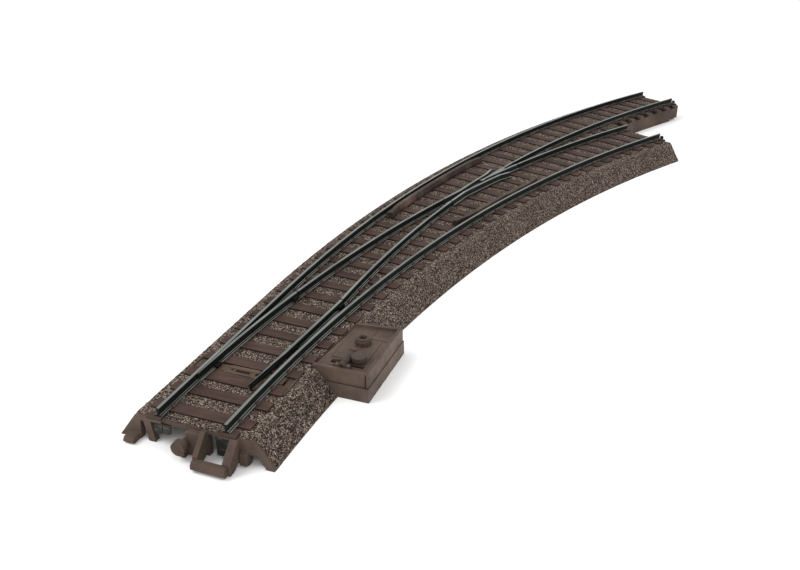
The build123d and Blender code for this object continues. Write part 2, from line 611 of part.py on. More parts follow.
CHECK_SIDE = RAIL - HEAD / 2 - FLANGEWAY     # offset of the face beside the flangeway
CHECK_WIDTH = 1.9
CHECK_CREST = 1.3         # width of the flat top
CHECK_SHOULDER = 8.2
CHECK_TOP = 9.7
CHECK_FLARE = 7.0         # length of each bent end
CHECK_FLARE_ANGLE = radians(9)
CHECK_LEFT_X = (126.0, 195.0)
CHECK_RIGHT_X = (126.5, 178.0)


def check_rail(lead, rail_side, x_range, inward):
    """Guard bar with a thin crest beside a stock rail, both ends bent away from it."""
    section = [(0, SLEEPER_TOP), (0, CHECK_TOP), (inward * CHECK_CREST, CHECK_TOP),
               (inward * CHECK_WIDTH, CHECK_SHOULDER), (inward * CHECK_WIDTH, SLEEPER_TOP)]
    first = station_at(lead, rail_side, x_range[0]) + CHECK_FLARE
    last = station_at(lead, rail_side, x_range[1]) - CHECK_FLARE
    lay([(rail_side + x, z) for x, z in section], lead, first, last)
    for station, way in ((first, -1), (last, 1)):
        face = route_plane(lead, station)
        run = face.z_dir * cos(CHECK_FLARE_ANGLE) + face.x_dir * (way * inward * sin(CHECK_FLARE_ANGLE))
        origin = face.origin + face.x_dir * rail_side
        if way < 0:
            origin = origin - run * CHECK_FLARE
        with BuildSketch(Plane(origin=origin, x_dir=(-run.Y, run.X, 0), z_dir=run)) as profile:
            with BuildLine():
                Polyline(*section, close=True)
            make_face()
        extrude(profile.sketch, amount=CHECK_FLARE)


with BuildPart() as check_rail_left:
    check_rail(LEAD, CHECK_SIDE, CHECK_LEFT_X, -1)
check_rail_left.part.label = "check_rail_left"

with BuildPart() as check_rail_right:
    check_rail(INNER, -CHECK_SIDE, CHECK_RIGHT_X, 1)
check_rail_right.part.label = "check_rail_right"


# ---------------------------------------------------------------- throw bar, link and slide
BAR_RIGHT_BOTTOM = 7.0    # the bar's right end is thinner, over the ledge in the bay
BAR_RIDGES = (((23.3, 24.3), (-4.0, 4.0), 0.3), ((21.3, 21.8), (-2.4, 4.0), 0.15))
RIVET_R = 0.4
RIVET_HEAD_R = 0.8
LINK_EYE_R = 1.5
LINK_WIDTH = 2.2
LINK_END_Y = -15.9

with BuildPart() as throw_bar:
    block(BAR, (BAR_RIGHT, BAR_LEFT), (BAR_BOTTOM, BAR_TOP))
    for x_range, y_range, height in BAR_RIDGES:
        block(x_range, y_range, (BAR_TOP, BAR_TOP + height))
    disc(BOSS, BOSS_R, LINK_Z[1], BAR_BOTTOM)
    block((BAR[0] - 0.1, BAR[1] + 0.1), (BAR_RIGHT - 0.1, BOSS[1] - 1.0),
          (BAR_BOTTOM - 0.1, BAR_RIGHT_BOTTOM), Mode.SUBTRACT)
    for pin in (PIN_LEFT, PIN_RIGHT):
        with BuildSketch(Plane.XY.offset(BAR_BOTTOM)):
            with Locations(pin):
                Rectangle(2 * PIN_R + 0.6, 2 * PIN_R + 2 * RUN_FIT)
        extrude(amount=2, mode=Mode.SUBTRACT)
    disc(BOSS, RIVET_R, LINK_Z[1], BAR_BOTTOM, Mode.SUBTRACT)
throw_bar.part.label = "throw_bar"

RACK_LINE = LANTERN[0] - PINION_PITCH
RACK_ROOT = RACK_LINE - 1.15 * MODULE

with BuildPart() as throw_link:
    disc(BOSS, LINK_EYE_R, *LINK_Z)
    strip(BOSS, (LINK_X, BOSS[1]), *LINK_Z, LINK_WIDTH)
    strip((LINK_X, BOSS[1] + LINK_WIDTH / 2), (LINK_X, LINK_END_Y), *LINK_Z, LINK_WIDTH)
    disc(BOSS, RIVET_R, *LINK_Z, Mode.SUBTRACT)
throw_link.part.label = "throw_link"

with BuildPart() as link_rivet:
    disc(BOSS, RIVET_R, LINK_Z[0], BAR_BOTTOM)
    disc(BOSS, RIVET_HEAD_R, LINK_Z[0] - 0.3, LINK_Z[0])
link_rivet.part.label = "link_rivet"


def rack_points(first_y, count):
    """Straight-sided rack teeth along -Y, pointing towards +X."""
    pitch = pi * MODULE
    points = []
    for k in range(count):
        y = first_y - k * pitch
        for height, side in ((-1.15, -1), (0.85, -1), (0.85, 1), (-1.15, 1)):
            half = pitch / 4 - height * MODULE * tan(PRESSURE) - BACKLASH / 4
            points.append((RACK_LINE + height * MODULE, y - side * half))
    return points


TOOTH_PITCH = pi * MODULE
RACK_TEETH = 7
SLIDE_NEAR = 32.8
SLIDE_OUT = -25.6
LUG_TOP = 5.9
LUGS = ((-2.5, -1.7), (3.8, 4.6))     # limits of the two lugs from the axle, along Y
SLIDE_POST = (42.0, -25.0)
POST_R = 0.5
RACK_FIRST = LANTERN[1] + 4.5 * TOOTH_PITCH

with BuildPart() as throw_slide:
    block((SLIDE_NEAR, RACK_ROOT), (SLIDE_OUT, LINK_END_Y), LINK_Z)
    slab([(RACK_ROOT - 1, RACK_FIRST + TOOTH_PITCH)] + rack_points(RACK_FIRST, RACK_TEETH)
         + [(RACK_ROOT - 1, RACK_FIRST - RACK_TEETH * TOOTH_PITCH)], GEAR_Z[0], LINK_Z[1])
    # two lugs that the lever finger swings between, and the post that the spring hooks on
    for low, high in LUGS:
        block((FINGER_X[0] - 0.3, FINGER_X[1] + 0.3), (AXLE_Y + low, AXLE_Y + high), (LINK_Z[1], LUG_TOP))
    disc(SLIDE_POST, POST_R, 2.6, LINK_Z[0])
throw_slide.part.label = "throw_slide"


# ---------------------------------------------------------------- throw box
SCREW_POINTS = ((33.6, -27.3), (52.6, -27.3), (50.6, -19.4))
SCREW_R = 0.5
SCREW_HEAD_R = 0.95
SCREW_HEAD = 0.45
SCREW_BOSS_R = 1.2
SCREW_BOSS_TOP = BOX_SPLIT - 0.6
SCREW_HOLE_TOP = BOX_SPLIT - 1.2
SPRING_POST = (52.0, -24.6)
SPRING_POST_TOP = 3.5
STEM_BUSH_R = 1.6
STEM_BUSH_TOP = 2.4

with BuildPart() as mechanism_box:
    slab(box_outline(0), 0, BOX_SPLIT)
    slab(box_core(BOX_WALL, -1), -1, BOX_SPLIT + 1, Mode.SUBTRACT)
    for point in SCREW_POINTS:
        disc(point, SCREW_BOSS_R, BOTTOM_Z[1], SCREW_BOSS_TOP)
    strip(SCREW_POINTS[2], (53.4, -19.6), BOTTOM_Z[1], SCREW_BOSS_TOP, 1.0)
    for point in SCREW_POINTS:
        disc(point, SCREW_R, BOTTOM_Z[1] - 1, SCREW_HOLE_TOP, Mode.SUBTRACT)
mechanism_box.part.label = "mechanism_box"

PAN_LEDGES = (((37.4, 44.2), (-20.6, -16.9), 0.2), ((33.4, 36.0), (-18.9, -17.3), 0.2),
              ((48.6, 53.4), (-28.0, -23.0), 0.12))
PAN_GROOVES = (((41.2, 48.0), (-26.3, -26.1)), ((41.2, 41.4), (-26.3, -25.0)))
AXLE_LUG_X = (39.4, 40.3)
AXLE_LUG_HALF = 0.9

with BuildPart() as mechanism_cover:
    slab(box_outline(COVER_INSET), BOX_SPLIT, BOX_TOP)
    slab(box_core(COVER_INSET + BOX_WALL, -1), BOX_SPLIT - 1, PAN_UNDER, Mode.SUBTRACT)
    slab(box_core(COVER_INSET + RIM, -1), PAN, BOX_TOP + 1, Mode.SUBTRACT)
    # raised ledges, grooves, square pad and the inner axle lug on the floor of the pan
    for x_range, y_range, height in PAN_LEDGES:
        block(x_range, y_range, (PAN, PAN + height))
    for x_range, y_range in PAN_GROOVES:
        block(x_range, y_range, (PAN - 0.25, PAN + 1), Mode.SUBTRACT)
    block(AXLE_LUG_X, (AXLE_Y - AXLE_LUG_HALF, AXLE_Y + AXLE_LUG_HALF), (PAN, AXLE_Z + AXLE_LUG_HALF))
    with BuildSketch(Plane.YZ.offset(38.0)):
        with Locations((AXLE_Y, AXLE_Z)):
            Circle(AXLE_R + RUN_FIT)
    extrude(amount=3, mode=Mode.SUBTRACT)
    block((FINGER_X[0] - 0.4, FINGER_X[1] + 0.4), (AXLE_Y - FINGER - 1.4, AXLE_Y + FINGER + 0.6),
          (PAN_UNDER - 1, BOX_TOP - 0.4), Mode.SUBTRACT)
    disc(LANTERN, STEM_R + RUN_FIT, PAN_UNDER - 1, PAN + 1, Mode.SUBTRACT)
mechanism_cover.part.label = "mechanism_cover"

with BuildPart() as mechanism_bottom:
    slab(box_core(BOX_WALL + 0.05, 2.2), *BOTTOM_Z)
    disc(LANTERN, STEM_BUSH_R, BOTTOM_Z[1], STEM_BUSH_TOP)
    disc(LANTERN, STEM_R + RUN_FIT, BOTTOM_Z[0] + 0.5, STEM_BUSH_TOP + 1, Mode.SUBTRACT)
    disc(SPRING_POST, POST_R, BOTTOM_Z[1], SPRING_POST_TOP)
    for point in SCREW_POINTS:
        disc(point, SCREW_R + 0.05, 0, BOTTOM_Z[1] + 1, Mode.SUBTRACT)
        disc(point, SCREW_HEAD_R + 0.05, 0, BOTTOM_Z[0] + SCREW_HEAD, Mode.SUBTRACT)
mechanism_bottom.part.label = "mechanism_bottom"

with BuildPart() as bottom_screws:
    for point in SCREW_POINTS:
        disc(point, SCREW_HEAD_R, BOTTOM_Z[0], BOTTOM_Z[0] + SCREW_HEAD)
        disc(point, SCREW_R, BOTTOM_Z[0] + SCREW_HEAD, SCREW_HOLE_TOP - 0.1)
        with BuildSketch(Plane.XY.offset(BOTTOM_Z[0])):
            with Locations(point):
                Rectangle(1.5, 0.25)
        extrude(amount=0.2, mode=Mode.SUBTRACT)
bottom_screws.part.label = "bottom_screws"


# ---------------------------------------------------------------- hand lever
def lever_axis_cylinder(radius, first_x, last_x, centre=(AXLE_Y, AXLE_Z), mode=Mode.ADD):
    with BuildSketch(Plane.YZ.offset(first_x)) as profile:
        with Locations(centre):
            Circle(radius)
    extrude(profile.sketch, amount=last_x - first_x, mode=mode)


with BuildPart() as hand_lever:
    lever_axis_cylinder(HUB_R, LEVER_X - 2.8, LEVER_X + 1.9)
    block((LEVER_X - 0.7, LEVER_X + 0.9), (AXLE_Y - DISC_REACH, AXLE_Y), (AXLE_Z - 0.35, AXLE_Z + 0.35))
    disc((LEVER_X + 0.4, AXLE_Y - DISC_REACH), DISC_R, AXLE_Z - 0.45, AXLE_Z + 0.8)
    # finger that hangs straight down half way through the swing
    rest_angle = 90 - LEVER_SWING / 2
    finger_plane = Plane(origin=(FINGER_X[0], AXLE_Y, AXLE_Z), x_dir=(0, cos(radians(rest_angle)),
                         -sin(radians(rest_angle))), z_dir=(1, 0, 0))
    with BuildSketch(finger_plane):
        with Locations((FINGER / 2, 0)):
            Rectangle(FINGER, 0.8)
        with Locations((FINGER - 0.4, 0)):
            Circle(0.4)
    extrude(amount=FINGER_X[1] - FINGER_X[0])
    lever_axis_cylinder(AXLE_R, LEVER_X - 3, LEVER_X + 3, mode=Mode.SUBTRACT)
hand_lever.part.label = "hand_lever"

with BuildPart() as lever_axle:
    lever_axis_cylinder(AXLE_R, 32.8, 40.5)
lever_axle.part.label = "lever_axle"

BEARING_X = (32.4, 33.8)
BEARING_R = 0.95
BEARING_FOOT_HALF = 2.0
BEARING_STUD_Y = 1.45

with BuildPart() as lever_bearing:
    block((BEARING_X[0] - 0.1, BEARING_X[1] + 0.2), (AXLE_Y - BEARING_FOOT_HALF, AXLE_Y + BEARING_FOOT_HALF),
          (PAN, PAN + 0.5))
    block(BEARING_X, (AXLE_Y - BEARING_R, AXLE_Y + BEARING_R), (PAN, AXLE_Z))
    lever_axis_cylinder(BEARING_R, *BEARING_X)
    for side in (-1, 1):
        disc((33.15, AXLE_Y + side * BEARING_STUD_Y), 0.4, PAN, PAN + 0.9)
    lever_axis_cylinder(AXLE_R + RUN_FIT, 32, 35, mode=Mode.SUBTRACT)
lever_bearing.part.label = "lever_bearing"


# ---------------------------------------------------------------- lantern socket and pinion
RIBS = 12

with BuildPart() as lantern_socket:
    disc(LANTERN, LANTERN_R - 0.2, PAN + 0.1, LANTERN_TOP - 0.6)
    disc(LANTERN, LANTERN_R - 0.4, LANTERN_TOP - 0.65, LANTERN_TOP)
    with BuildSketch(Plane.XY.offset(PAN + 0.1)):
        with Locations(LANTERN):
            with PolarLocations(LANTERN_R - 0.3, RIBS):
                Rectangle(0.6, 0.5)
    extrude(amount=LANTERN_TOP - PAN - 0.8)
    disc(LANTERN, LANTERN_BORE, LANTERN_FLOOR, LANTERN_TOP + 1, Mode.SUBTRACT)
    disc(LANTERN, STEM_R, BOTTOM_Z[0] + 0.6, PAN + 0.1)
lantern_socket.part.label = "lantern_socket"


def involute_point(base_radius, radius, start_angle, side):
    """Point on an involute flank at a radius; side is +1 or -1."""
    roll = sqrt(max((radius / base_radius) ** 2 - 1, 0))
    angle = start_angle + side * (roll - atan2(roll, 1))
    return (LANTERN[0] + radius * cos(angle), LANTERN[1] + radius * sin(angle))


def pinion_points():
    """Pinion outline with one tooth pointing straight at the rack."""
    base = PINION_PITCH * cos(PRESSURE)
    tip = PINION_PITCH + 0.85 * MODULE
    root = PINION_PITCH - 1.15 * MODULE
    involute = tan(PRESSURE) - PRESSURE
    half = pi / (2 * PINION_TEETH) - BACKLASH / (4 * PINION_PITCH) + involute
    steps = [base + (tip - base) * k / 4 for k in range(5)]
    points = []
    for k in range(PINION_TEETH):
        centre = pi + 2 * pi * k / PINION_TEETH
        for start, side, radii in ((centre - half, 1, steps), (centre + half, -1, steps[::-1])):
            if side == 1:
                points.append((LANTERN[0] + root * cos(start), LANTERN[1] + root * sin(start)))
            points += [involute_point(base, radius, start, side) for radius in radii]
            if side == -1:
                points.append((LANTERN[0] + root * cos(start), LANTERN[1] + root * sin(start)))
    return points


with BuildPart() as lantern_pinion:
    slab(pinion_points(), *GEAR_Z)
    disc(LANTERN, STEM_R, GEAR_Z[0] - 1, GEAR_Z[1] + 1, Mode.SUBTRACT)
lantern_pinion.part.label = "lantern_pinion"


# ---------------------------------------------------------------- snap spring
SPRING_Z = 3.0
WIRE_R = 0.2
with BuildPart() as snap_spring:
    with BuildLine(Plane.XY.offset(SPRING_Z)) as spring_path:
        FilletPolyline((41.9, -24.25), (42.9, -24.25), (46.0, -26.9), (49.2, -26.2), (51.25, -24.6),
                       radius=0.5)
    with BuildSketch(Plane(origin=spring_path.line @ 0, z_dir=spring_path.line % 0)):
        Circle(WIRE_R)
    sweep()
snap_spring.part.label = "snap_spring"


# ---------------------------------------------------------------- electrical parts
def jumper(name, pair):
    """Flat strip under the deck with a round riser to the rail at each end."""
    with BuildPart() as piece:
        strip(pair[0], pair[1], JUMPER_Z[0], JUMPER_Z[1], 2.0)
        for point in pair:
            disc(point, 1.0, *JUMPER_Z)
            riser(point)
    piece.part.label = name
    return piece.part


TONGUE_TOP = 8.3
CONTACT_SHEET = (0.05, 0.4)       # distances of the sheet's two faces out of the end face


def contact_tongue(plane, reach):
    """Sheet lug with two rounded lobes under the rail block; a reach makes it stick out."""
    face_plane = Plane(origin=plane.origin, x_dir=plane.y_dir, z_dir=plane.x_dir)
    with BuildSketch(face_plane.offset(CONTACT_SHEET[0])) as profile:
        with Locations((-8.9, 4.9)):
            Rectangle(2.0, 2.2)
        with Locations((-6.6, 5.1)):
            Rectangle(2.0, 1.8)
        with Locations((-7.8, 5.75)):
            Rectangle(3.8, 0.5)
        with Locations((-8.9, 3.8), (-6.6, 4.2)):
            Circle(1.0)
    extrude(profile.sketch, amount=CONTACT_SHEET[1] - CONTACT_SHEET[0])
    if reach:
        side_prism(plane, -RAIL - 0.8, [(CONTACT_SHEET[0], 5.9), (reach, 6.0), (reach, TONGUE_TOP - 0.15),
                                        (reach - 0.1, TONGUE_TOP), (reach - 0.35, TONGUE_TOP),
                                        (reach - 0.35, 6.3), (CONTACT_SHEET[0], 6.2)], 1.5)


# start across the track, bottom, top and width of each fold
SOCKET_PLATES = ((RAIL - 1.2, 5.0, 5.85, 2.4), (RAIL - 2.6, 1.2, 5.2, 1.9), (RAIL - 0.9, 3.0, 5.2, 1.6))


def contact_socket(plane):
    """Folded spring clip under the rail that takes the neighbouring tongue."""
    near, far = CONTACT_SHEET
    for across, bottom, top, width in SOCKET_PLATES:
        side_prism(plane, across, [(near, bottom), (far, bottom), (far, top), (near, top)], width)


FEED_Z = (JUMPER_Z[0] - 0.5, JUMPER_Z[0] - 0.1)
TONGUE_REACH = {"toe": 0, "inner": 2.2, "outer": 2.2}

electrical = [jumper(name, pair) for name, pair in JUMPERS.items()]

with BuildPart() as frog_feed:
    strip(FROG_FEED[0], FROG_FEED[1], *FEED_Z, 1.6)
    disc(FROG_FEED[0], 0.9, *FEED_Z)
    disc(FROG_FEED[0], RISER, FEED_Z[0] + 0.2, SLEEPER_TOP)
frog_feed.part.label = "frog_feed"

for terminal_name, terminal_y in TERMINALS.items():
    with BuildPart() as terminal:
        block(TERMINAL_X, (terminal_y - 1.4, terminal_y + 1.4), JUMPER_Z)
        riser((TERMINAL_X[0] + 1.2, terminal_y))
    terminal.part.label = terminal_name
    electrical.append(terminal.part)

for end_name, plane in ENDS.items():
    with BuildPart() as tongue:
        contact_tongue(plane, TONGUE_REACH[end_name])
    tongue.part.label = f"contact_tongue_{end_name}"
    with BuildPart() as socket:
        contact_socket(plane)
    socket.part.label = f"contact_socket_{end_name}"
    electrical += [tongue.part, socket.part]


# ---------------------------------------------------------------- output
pieces = [roadbed, stock_rail_left, stock_rail_right, closure_rail_left, closure_rail_right,
          inner_route_left_rail, outer_route_right_rail, switch_blade_left, switch_blade_right,
          blade_pivot_pins, frog, check_rail_left, check_rail_right, throw_bar, throw_link,
          link_rivet, throw_slide, mechanism_box, mechanism_cover, mechanism_bottom,
          bottom_screws, hand_lever, lever_axle, lever_bearing, lantern_socket, lantern_pinion,
          snap_spring, frog_feed]
for piece in [builder.part for builder in pieces] + electrical:
    export_step(piece, f"parts/{piece.label}.step")
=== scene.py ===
import bpy
import bmesh
import json
import math
import numpy as np
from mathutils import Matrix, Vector


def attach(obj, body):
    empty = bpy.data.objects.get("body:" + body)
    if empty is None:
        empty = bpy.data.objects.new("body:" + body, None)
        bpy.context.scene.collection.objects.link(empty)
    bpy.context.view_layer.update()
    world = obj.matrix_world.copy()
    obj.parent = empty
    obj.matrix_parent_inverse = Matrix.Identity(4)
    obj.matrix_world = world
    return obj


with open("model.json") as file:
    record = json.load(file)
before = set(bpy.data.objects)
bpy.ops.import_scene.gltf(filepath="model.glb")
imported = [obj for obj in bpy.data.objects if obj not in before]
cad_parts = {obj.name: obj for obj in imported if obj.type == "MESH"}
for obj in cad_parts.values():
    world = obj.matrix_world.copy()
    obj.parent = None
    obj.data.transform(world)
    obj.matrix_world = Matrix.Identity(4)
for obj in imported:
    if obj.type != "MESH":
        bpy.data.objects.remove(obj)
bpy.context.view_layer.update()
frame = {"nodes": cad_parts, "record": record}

# The looks of the model turnout switch. Every CAD node keeps its shape and gets a procedural
# material, some with painted light and shade. The script adds what is too fine for the CAD model:
# the stones of the ballast, the rail chairs, small mouldings on the throw box, the throw bar and
# the guard rails, and dark plates of painted shade in seams, grooves, pockets and sunk spots.
# Shapes are in millimetres in the CAD frame; shader values are in metres.
MM = 0.001

# ------------------------------------------------------------------ track geometry
RADIUS = 515.0                  # both curves, at the track centre
SWEEP = math.radians(30.0)
INNER = 0.0                     # the straight before the inner curve
LEAD = 64.3                     # the straight before the outer curve
INNER_LENGTH = RADIUS * SWEEP
OUTER_LENGTH = LEAD + INNER_LENGTH
RAIL = 8.675                    # rail centre lines, from the track centre
GUARD_RIB = 5.55                # backs of the guard rails, from the track centre

DECK = 7.0                      # height of the ballast between the sleepers
SHOULDER = 14.6                 # offset where the deck starts to round over
SLOPE_TOP = (15.2, 6.5)         # offset and height where the slope starts
SLOPE_LEAN = 0.805              # outward part of the slope's normal
BASE_HALF = 20.0
CUT_WALL = -13.0                # offset of the upright wall between the branches
BARE_WALL = (-10.9, 54.0)       # no ballast outside this offset on the outer branch's end
BARE_END = 0.9                  # the slope's end faces at the toe carry no ballast

SLEEPER_TOP = 7.6
SLEEPER_HALF = 12.9
PITCH = 7.67
TOE_SLEEPERS = (4.6, 12.2, 18.9, 26.6)
LAST_SLEEPER = 3.5              # least distance of a long sleeper from the inner route's end
END_SLEEPER = 4.6               # distance of the last short sleeper from the outer route's end
END_SLEEPERS = 7
END_SLEEPER_SPAN = (0.8, 12.1)  # offset of a short sleeper's middle, and its half length
OUTER_STATIONS = [OUTER_LENGTH - END_SLEEPER - PITCH * k for k in range(END_SLEEPERS)]

BAY = ((20.6, 25.0), 13.6)      # range along the track and half width of the throw bar's bay
BOX = ((31.0, -14.3), (31.0, -29.25), (55.9, -29.25), (54.4, -16.6))
BOX_NOTCH = ((30.7, 55.6), (-30.0, -13.85), -0.0983)   # x range, y range at the near end, slant
BOX_PAN = 7.19                  # heights on the box: the sunk panel,
BOX_PAD = 7.3                   # the studded pad on it,
BEARING_TOP = 7.65              # the lever's bearing,
BOX_SPLIT = (4.02, 4.16)        # the groove between the lower and the upper housing,
BOX_SEAMS = (4.1, 7.7)          # and the ends of the upright seams
BAR_TOP = 7.44
POCKET_FLOOR = 6.0

BLADE_ZONE = (12, 62)           # the blades sweep over the inner chairs here
ROW_SAMPLES = 600               # points tried along a sleeper row to find a rail on it
RAIL_RUNS = (                   # route, offset, first and last station (400 is past every end)
    (LEAD, RAIL, 0.0, 400.0), (INNER, -RAIL, 0.0, 400.0),
    (INNER, RAIL, 62.5, 143.5), (LEAD, -RAIL, 62.5, 143.0),
    (INNER, RAIL, 196.0, 400.0), (LEAD, -RAIL, 196.0, 400.0),
)
GUARD_RUNS = ((LEAD, GUARD_RIB, 133, 191), (INNER, -GUARD_RIB, 135, 171))


def route_point(lead, station, offset):
    """Plan point at a station and offset of a route."""
    turn = max(station - lead, 0) / RADIUS
    along = min(station, lead)
    reach = RADIUS + offset
    return along + reach * math.sin(turn), reach * math.cos(turn) - RADIUS


def route_coords(lead, x, y):
    """Station and offset arrays of plan points on a route."""
    angle = np.arctan2(x - lead, y + RADIUS)
    curved = angle > 0
    station = np.where(curved, lead + RADIUS * angle, x)
    offset = np.where(curved, np.hypot(x - lead, y + RADIUS) - RADIUS, y)
    return station, offset


def long_sleeper(station):
    """Centre, length and angle of a sleeper that carries both routes."""
    inner_turn = station / RADIUS
    spread = 0.0
    x, y = route_point(INNER, station, 0)
    for _ in range(6):
        outer_turn = math.asin(max((x + spread * math.sin(inner_turn) - LEAD) / RADIUS, 0))
        mean = (inner_turn + outer_turn) / 2
        outer_x = LEAD + RADIUS * math.sin(outer_turn) if outer_turn > 0 else x
        outer_y = RADIUS * (math.cos(outer_turn) - 1)
        spread = (outer_x - x) * math.sin(mean) + (outer_y - y) * math.cos(mean)
    low, high = -SLEEPER_HALF, spread + SLEEPER_HALF
    middle = (low + high) / 2
    return (x + middle * math.sin(mean), y + middle * math.cos(mean)), high - low, -mean


LONG_STATIONS = list(TOE_SLEEPERS)
while LONG_STATIONS[-1] + PITCH < INNER_LENGTH - LAST_SLEEPER:
    LONG_STATIONS.append(LONG_STATIONS[-1] + PITCH)


# ------------------------------------------------------------------ shader helpers
def srgb(r, g, b):
    """Linear RGBA of an 8-bit screen colour."""
    def one(c):
        c /= 255.0
        return c / 12.92 if c <= 0.04045 else ((c + 0.055) / 1.055) ** 2.4
    return (one(r), one(g), one(b), 1.0)


class Shade:
    """Builds one node material; every helper returns an output socket."""

    def __init__(self, name):
        self.material = bpy.data.materials.new(name)
        self.material.use_nodes = True
        self.tree = self.material.node_tree
        self.tree.nodes.clear()
        self.bsdf = self.node("BsdfPrincipled")
        self.link(self.bsdf.outputs[0], self.node("OutputMaterial").inputs["Surface"])
        self.coords = self.node("TexCoord").outputs["Object"]

    def node(self, kind):
        return self.tree.nodes.new("ShaderNode" + kind)

    def link(self, source, target):
        """Links a socket, or sets a constant on the target itself."""
        if hasattr(source, "is_linked"):
            self.tree.links.new(source, target)
        else:
            target.default_value = source

    def vector(self, kind, *inputs):
        node = self.node("VectorMath")
        node.operation = kind
        for value, socket in zip(inputs, node.inputs):
            self.link(value, socket)
        return node.outputs["Value" if kind == "DOT_PRODUCT" else "Vector"]

    def scaled(self, factors):
        return self.vector("MULTIPLY", self.coords, factors)

    def noise(self, scale, detail=4.0, vector=None, rough=0.55, output="Fac"):
        node = self.node("TexNoise")
        node.inputs["Scale"].default_value = scale
        node.inputs["Detail"].default_value = detail
        node.inputs["Roughness"].default_value = rough
        self.link(vector or self.coords, node.inputs["Vector"])
        return node.outputs[output]

    def voronoi(self, scale, feature, output, vector):
        node = self.node("TexVoronoi")
        node.feature = feature
        node.inputs["Scale"].default_value = scale
        self.link(vector, node.inputs["Vector"])
        return node.outputs[output]

    def ramp(self, fac, *stops):
        """Colour ramp through (position, RGBA) stops."""
        node = self.node("ValToRGB")
        ramp = node.color_ramp
        while len(ramp.elements) < len(stops):
            ramp.elements.new(0.5)
        for element, (position, colour) in zip(ramp.elements, stops):
            element.position = position
            element.color = colour
        self.link(fac, node.inputs["Fac"])
        return node.outputs["Color"]

    def remap(self, fac, low, high, low_at=0.0, high_at=1.0):
        """Clamped linear map: low at low_at, high at high_at."""
        node = self.node("MapRange")
        self.link(fac, node.inputs["Value"])
        node.inputs["From Min"].default_value = low_at
        node.inputs["From Max"].default_value = high_at
        node.inputs["To Min"].default_value = low
        node.inputs["To Max"].default_value = high
        return node.outputs["Result"]

    def mix(self, fac, first, second, kind="MIX"):
        node = self.node("Mix")
        node.data_type = "RGBA"
        node.blend_type = kind
        self.link(fac, node.inputs[0])
        self.link(first, node.inputs[6])
        self.link(second, node.inputs[7])
        return node.outputs[2]

    def math(self, kind, first, second):
        node = self.node("Math")
        node.operation = kind
        self.link(first, node.inputs[0])
        self.link(second, node.inputs[1])
        return node.outputs[0]

    def times(self, first, second):
        return self.math("MULTIPLY", first, second)

    def plus(self, first, second):
        return self.math("ADD", first, second)

    def grey_colour(self, value):
        node = self.node("CombineColor")
        for channel in range(3):
            self.link(value, node.inputs[channel])
        return node.outputs[0]

    def part_of(self, kind, source, which):
        """One component of a vector or colour."""
        node = self.node(kind)
        self.link(source, node.inputs[0])
        return node.outputs[which]

    def height(self):
        return self.part_of("SeparateXYZ", self.coords, "Z")

    def surface_normal(self):
        return self.node("NewGeometry").outputs["Normal"]

    def facing_up(self):
        return self.part_of("SeparateXYZ", self.surface_normal(), "Z")

    def rounded(self, radius):
        """Shading normal with every sharp edge rolled over a small radius."""
        bevel = self.node("Bevel")
        bevel.samples = 4
        bevel.inputs["Radius"].default_value = radius
        return bevel.outputs[0]

    def edges(self, radius):
        """1 on sharp edges, fading out within the radius."""
        same = self.vector("DOT_PRODUCT", self.rounded(radius), self.surface_normal())
        return self.remap(same, 1.0, 0.0, 0.75, 0.99)

    def bump(self, height, strength, distance, normal=None):
        node = self.node("Bump")
        node.inputs["Strength"].default_value = strength
        node.inputs["Distance"].default_value = distance
        self.link(height, node.inputs["Height"])
        if normal is not None:
            self.link(normal, node.inputs["Normal"])
        return node.outputs["Normal"]

    def finish(self, colour, rough, metallic, normal, specular=0.5):
        self.link(colour, self.bsdf.inputs["Base Color"])
        self.link(rough, self.bsdf.inputs["Roughness"])
        self.link(metallic, self.bsdf.inputs["Metallic"])
        self.link(normal, self.bsdf.inputs["Normal"])
        self.link(specular, self.bsdf.inputs["Specular IOR Level"])
        return self.material


# ------------------------------------------------------------------ materials
# Height bands, in metres, where the looks of a moulding or rail change.
DECK_BAND = (0.0069, 0.00705)
SLEEPER_BAND = (0.00745, 0.00755)
HEAD_BAND = (0.00972, 0.00978)
WEB_BAND = (0.0081, 0.0082)
FOOT_HIGHLIGHT_BANDS = ((0.00783, 0.00788), (0.00795, 0.00799))    # edges of the dark line between the two painted highlight lines on the foot
EDGE_ROUNDING = 0.0001          # rounding of the moulded plastics' edges, in metres
STONE_SCALE = 3000              # stones per metre in the ballast's colour


def plastic(name, base, dark, light, rough, grain, edge_highlight=0.5):
    """Satin moulded plastic: faint mottling, fine spark texture, painted shade on faces that don't
    face up, painted highlight on sharp edges.
    """
    s = Shade(name)
    base, dark, light = srgb(*base), srgb(*dark), srgb(*light)
    cloud = s.noise(60, 3)
    fine = s.noise(3800, 3)
    streak = s.noise(700, 5)
    colour = s.ramp(cloud, (0.3, dark), (0.5, base), (0.72, light))
    colour = s.mix(s.remap(streak, 0.0, 0.22, 0.45, 0.75), colour, dark)
    # painted shade: faces that don't face up are mixed towards the dark colour
    colour = s.mix(s.remap(s.facing_up(), 0.0, 0.45, 0.6, 0.95), colour, dark)
    # painted highlight: sharp edges are mixed towards the light colour
    colour = s.mix(s.times(s.edges(0.00022), edge_highlight), colour, light)
    height = s.plus(s.times(fine, 0.7), s.times(streak, 0.5))
    normal = s.bump(height, grain, 0.00006, s.rounded(EDGE_ROUNDING))
    return s.finish(colour, s.remap(streak, rough - 0.08, rough + 0.14, 0.3, 0.7), 0.0, normal, 0.16)


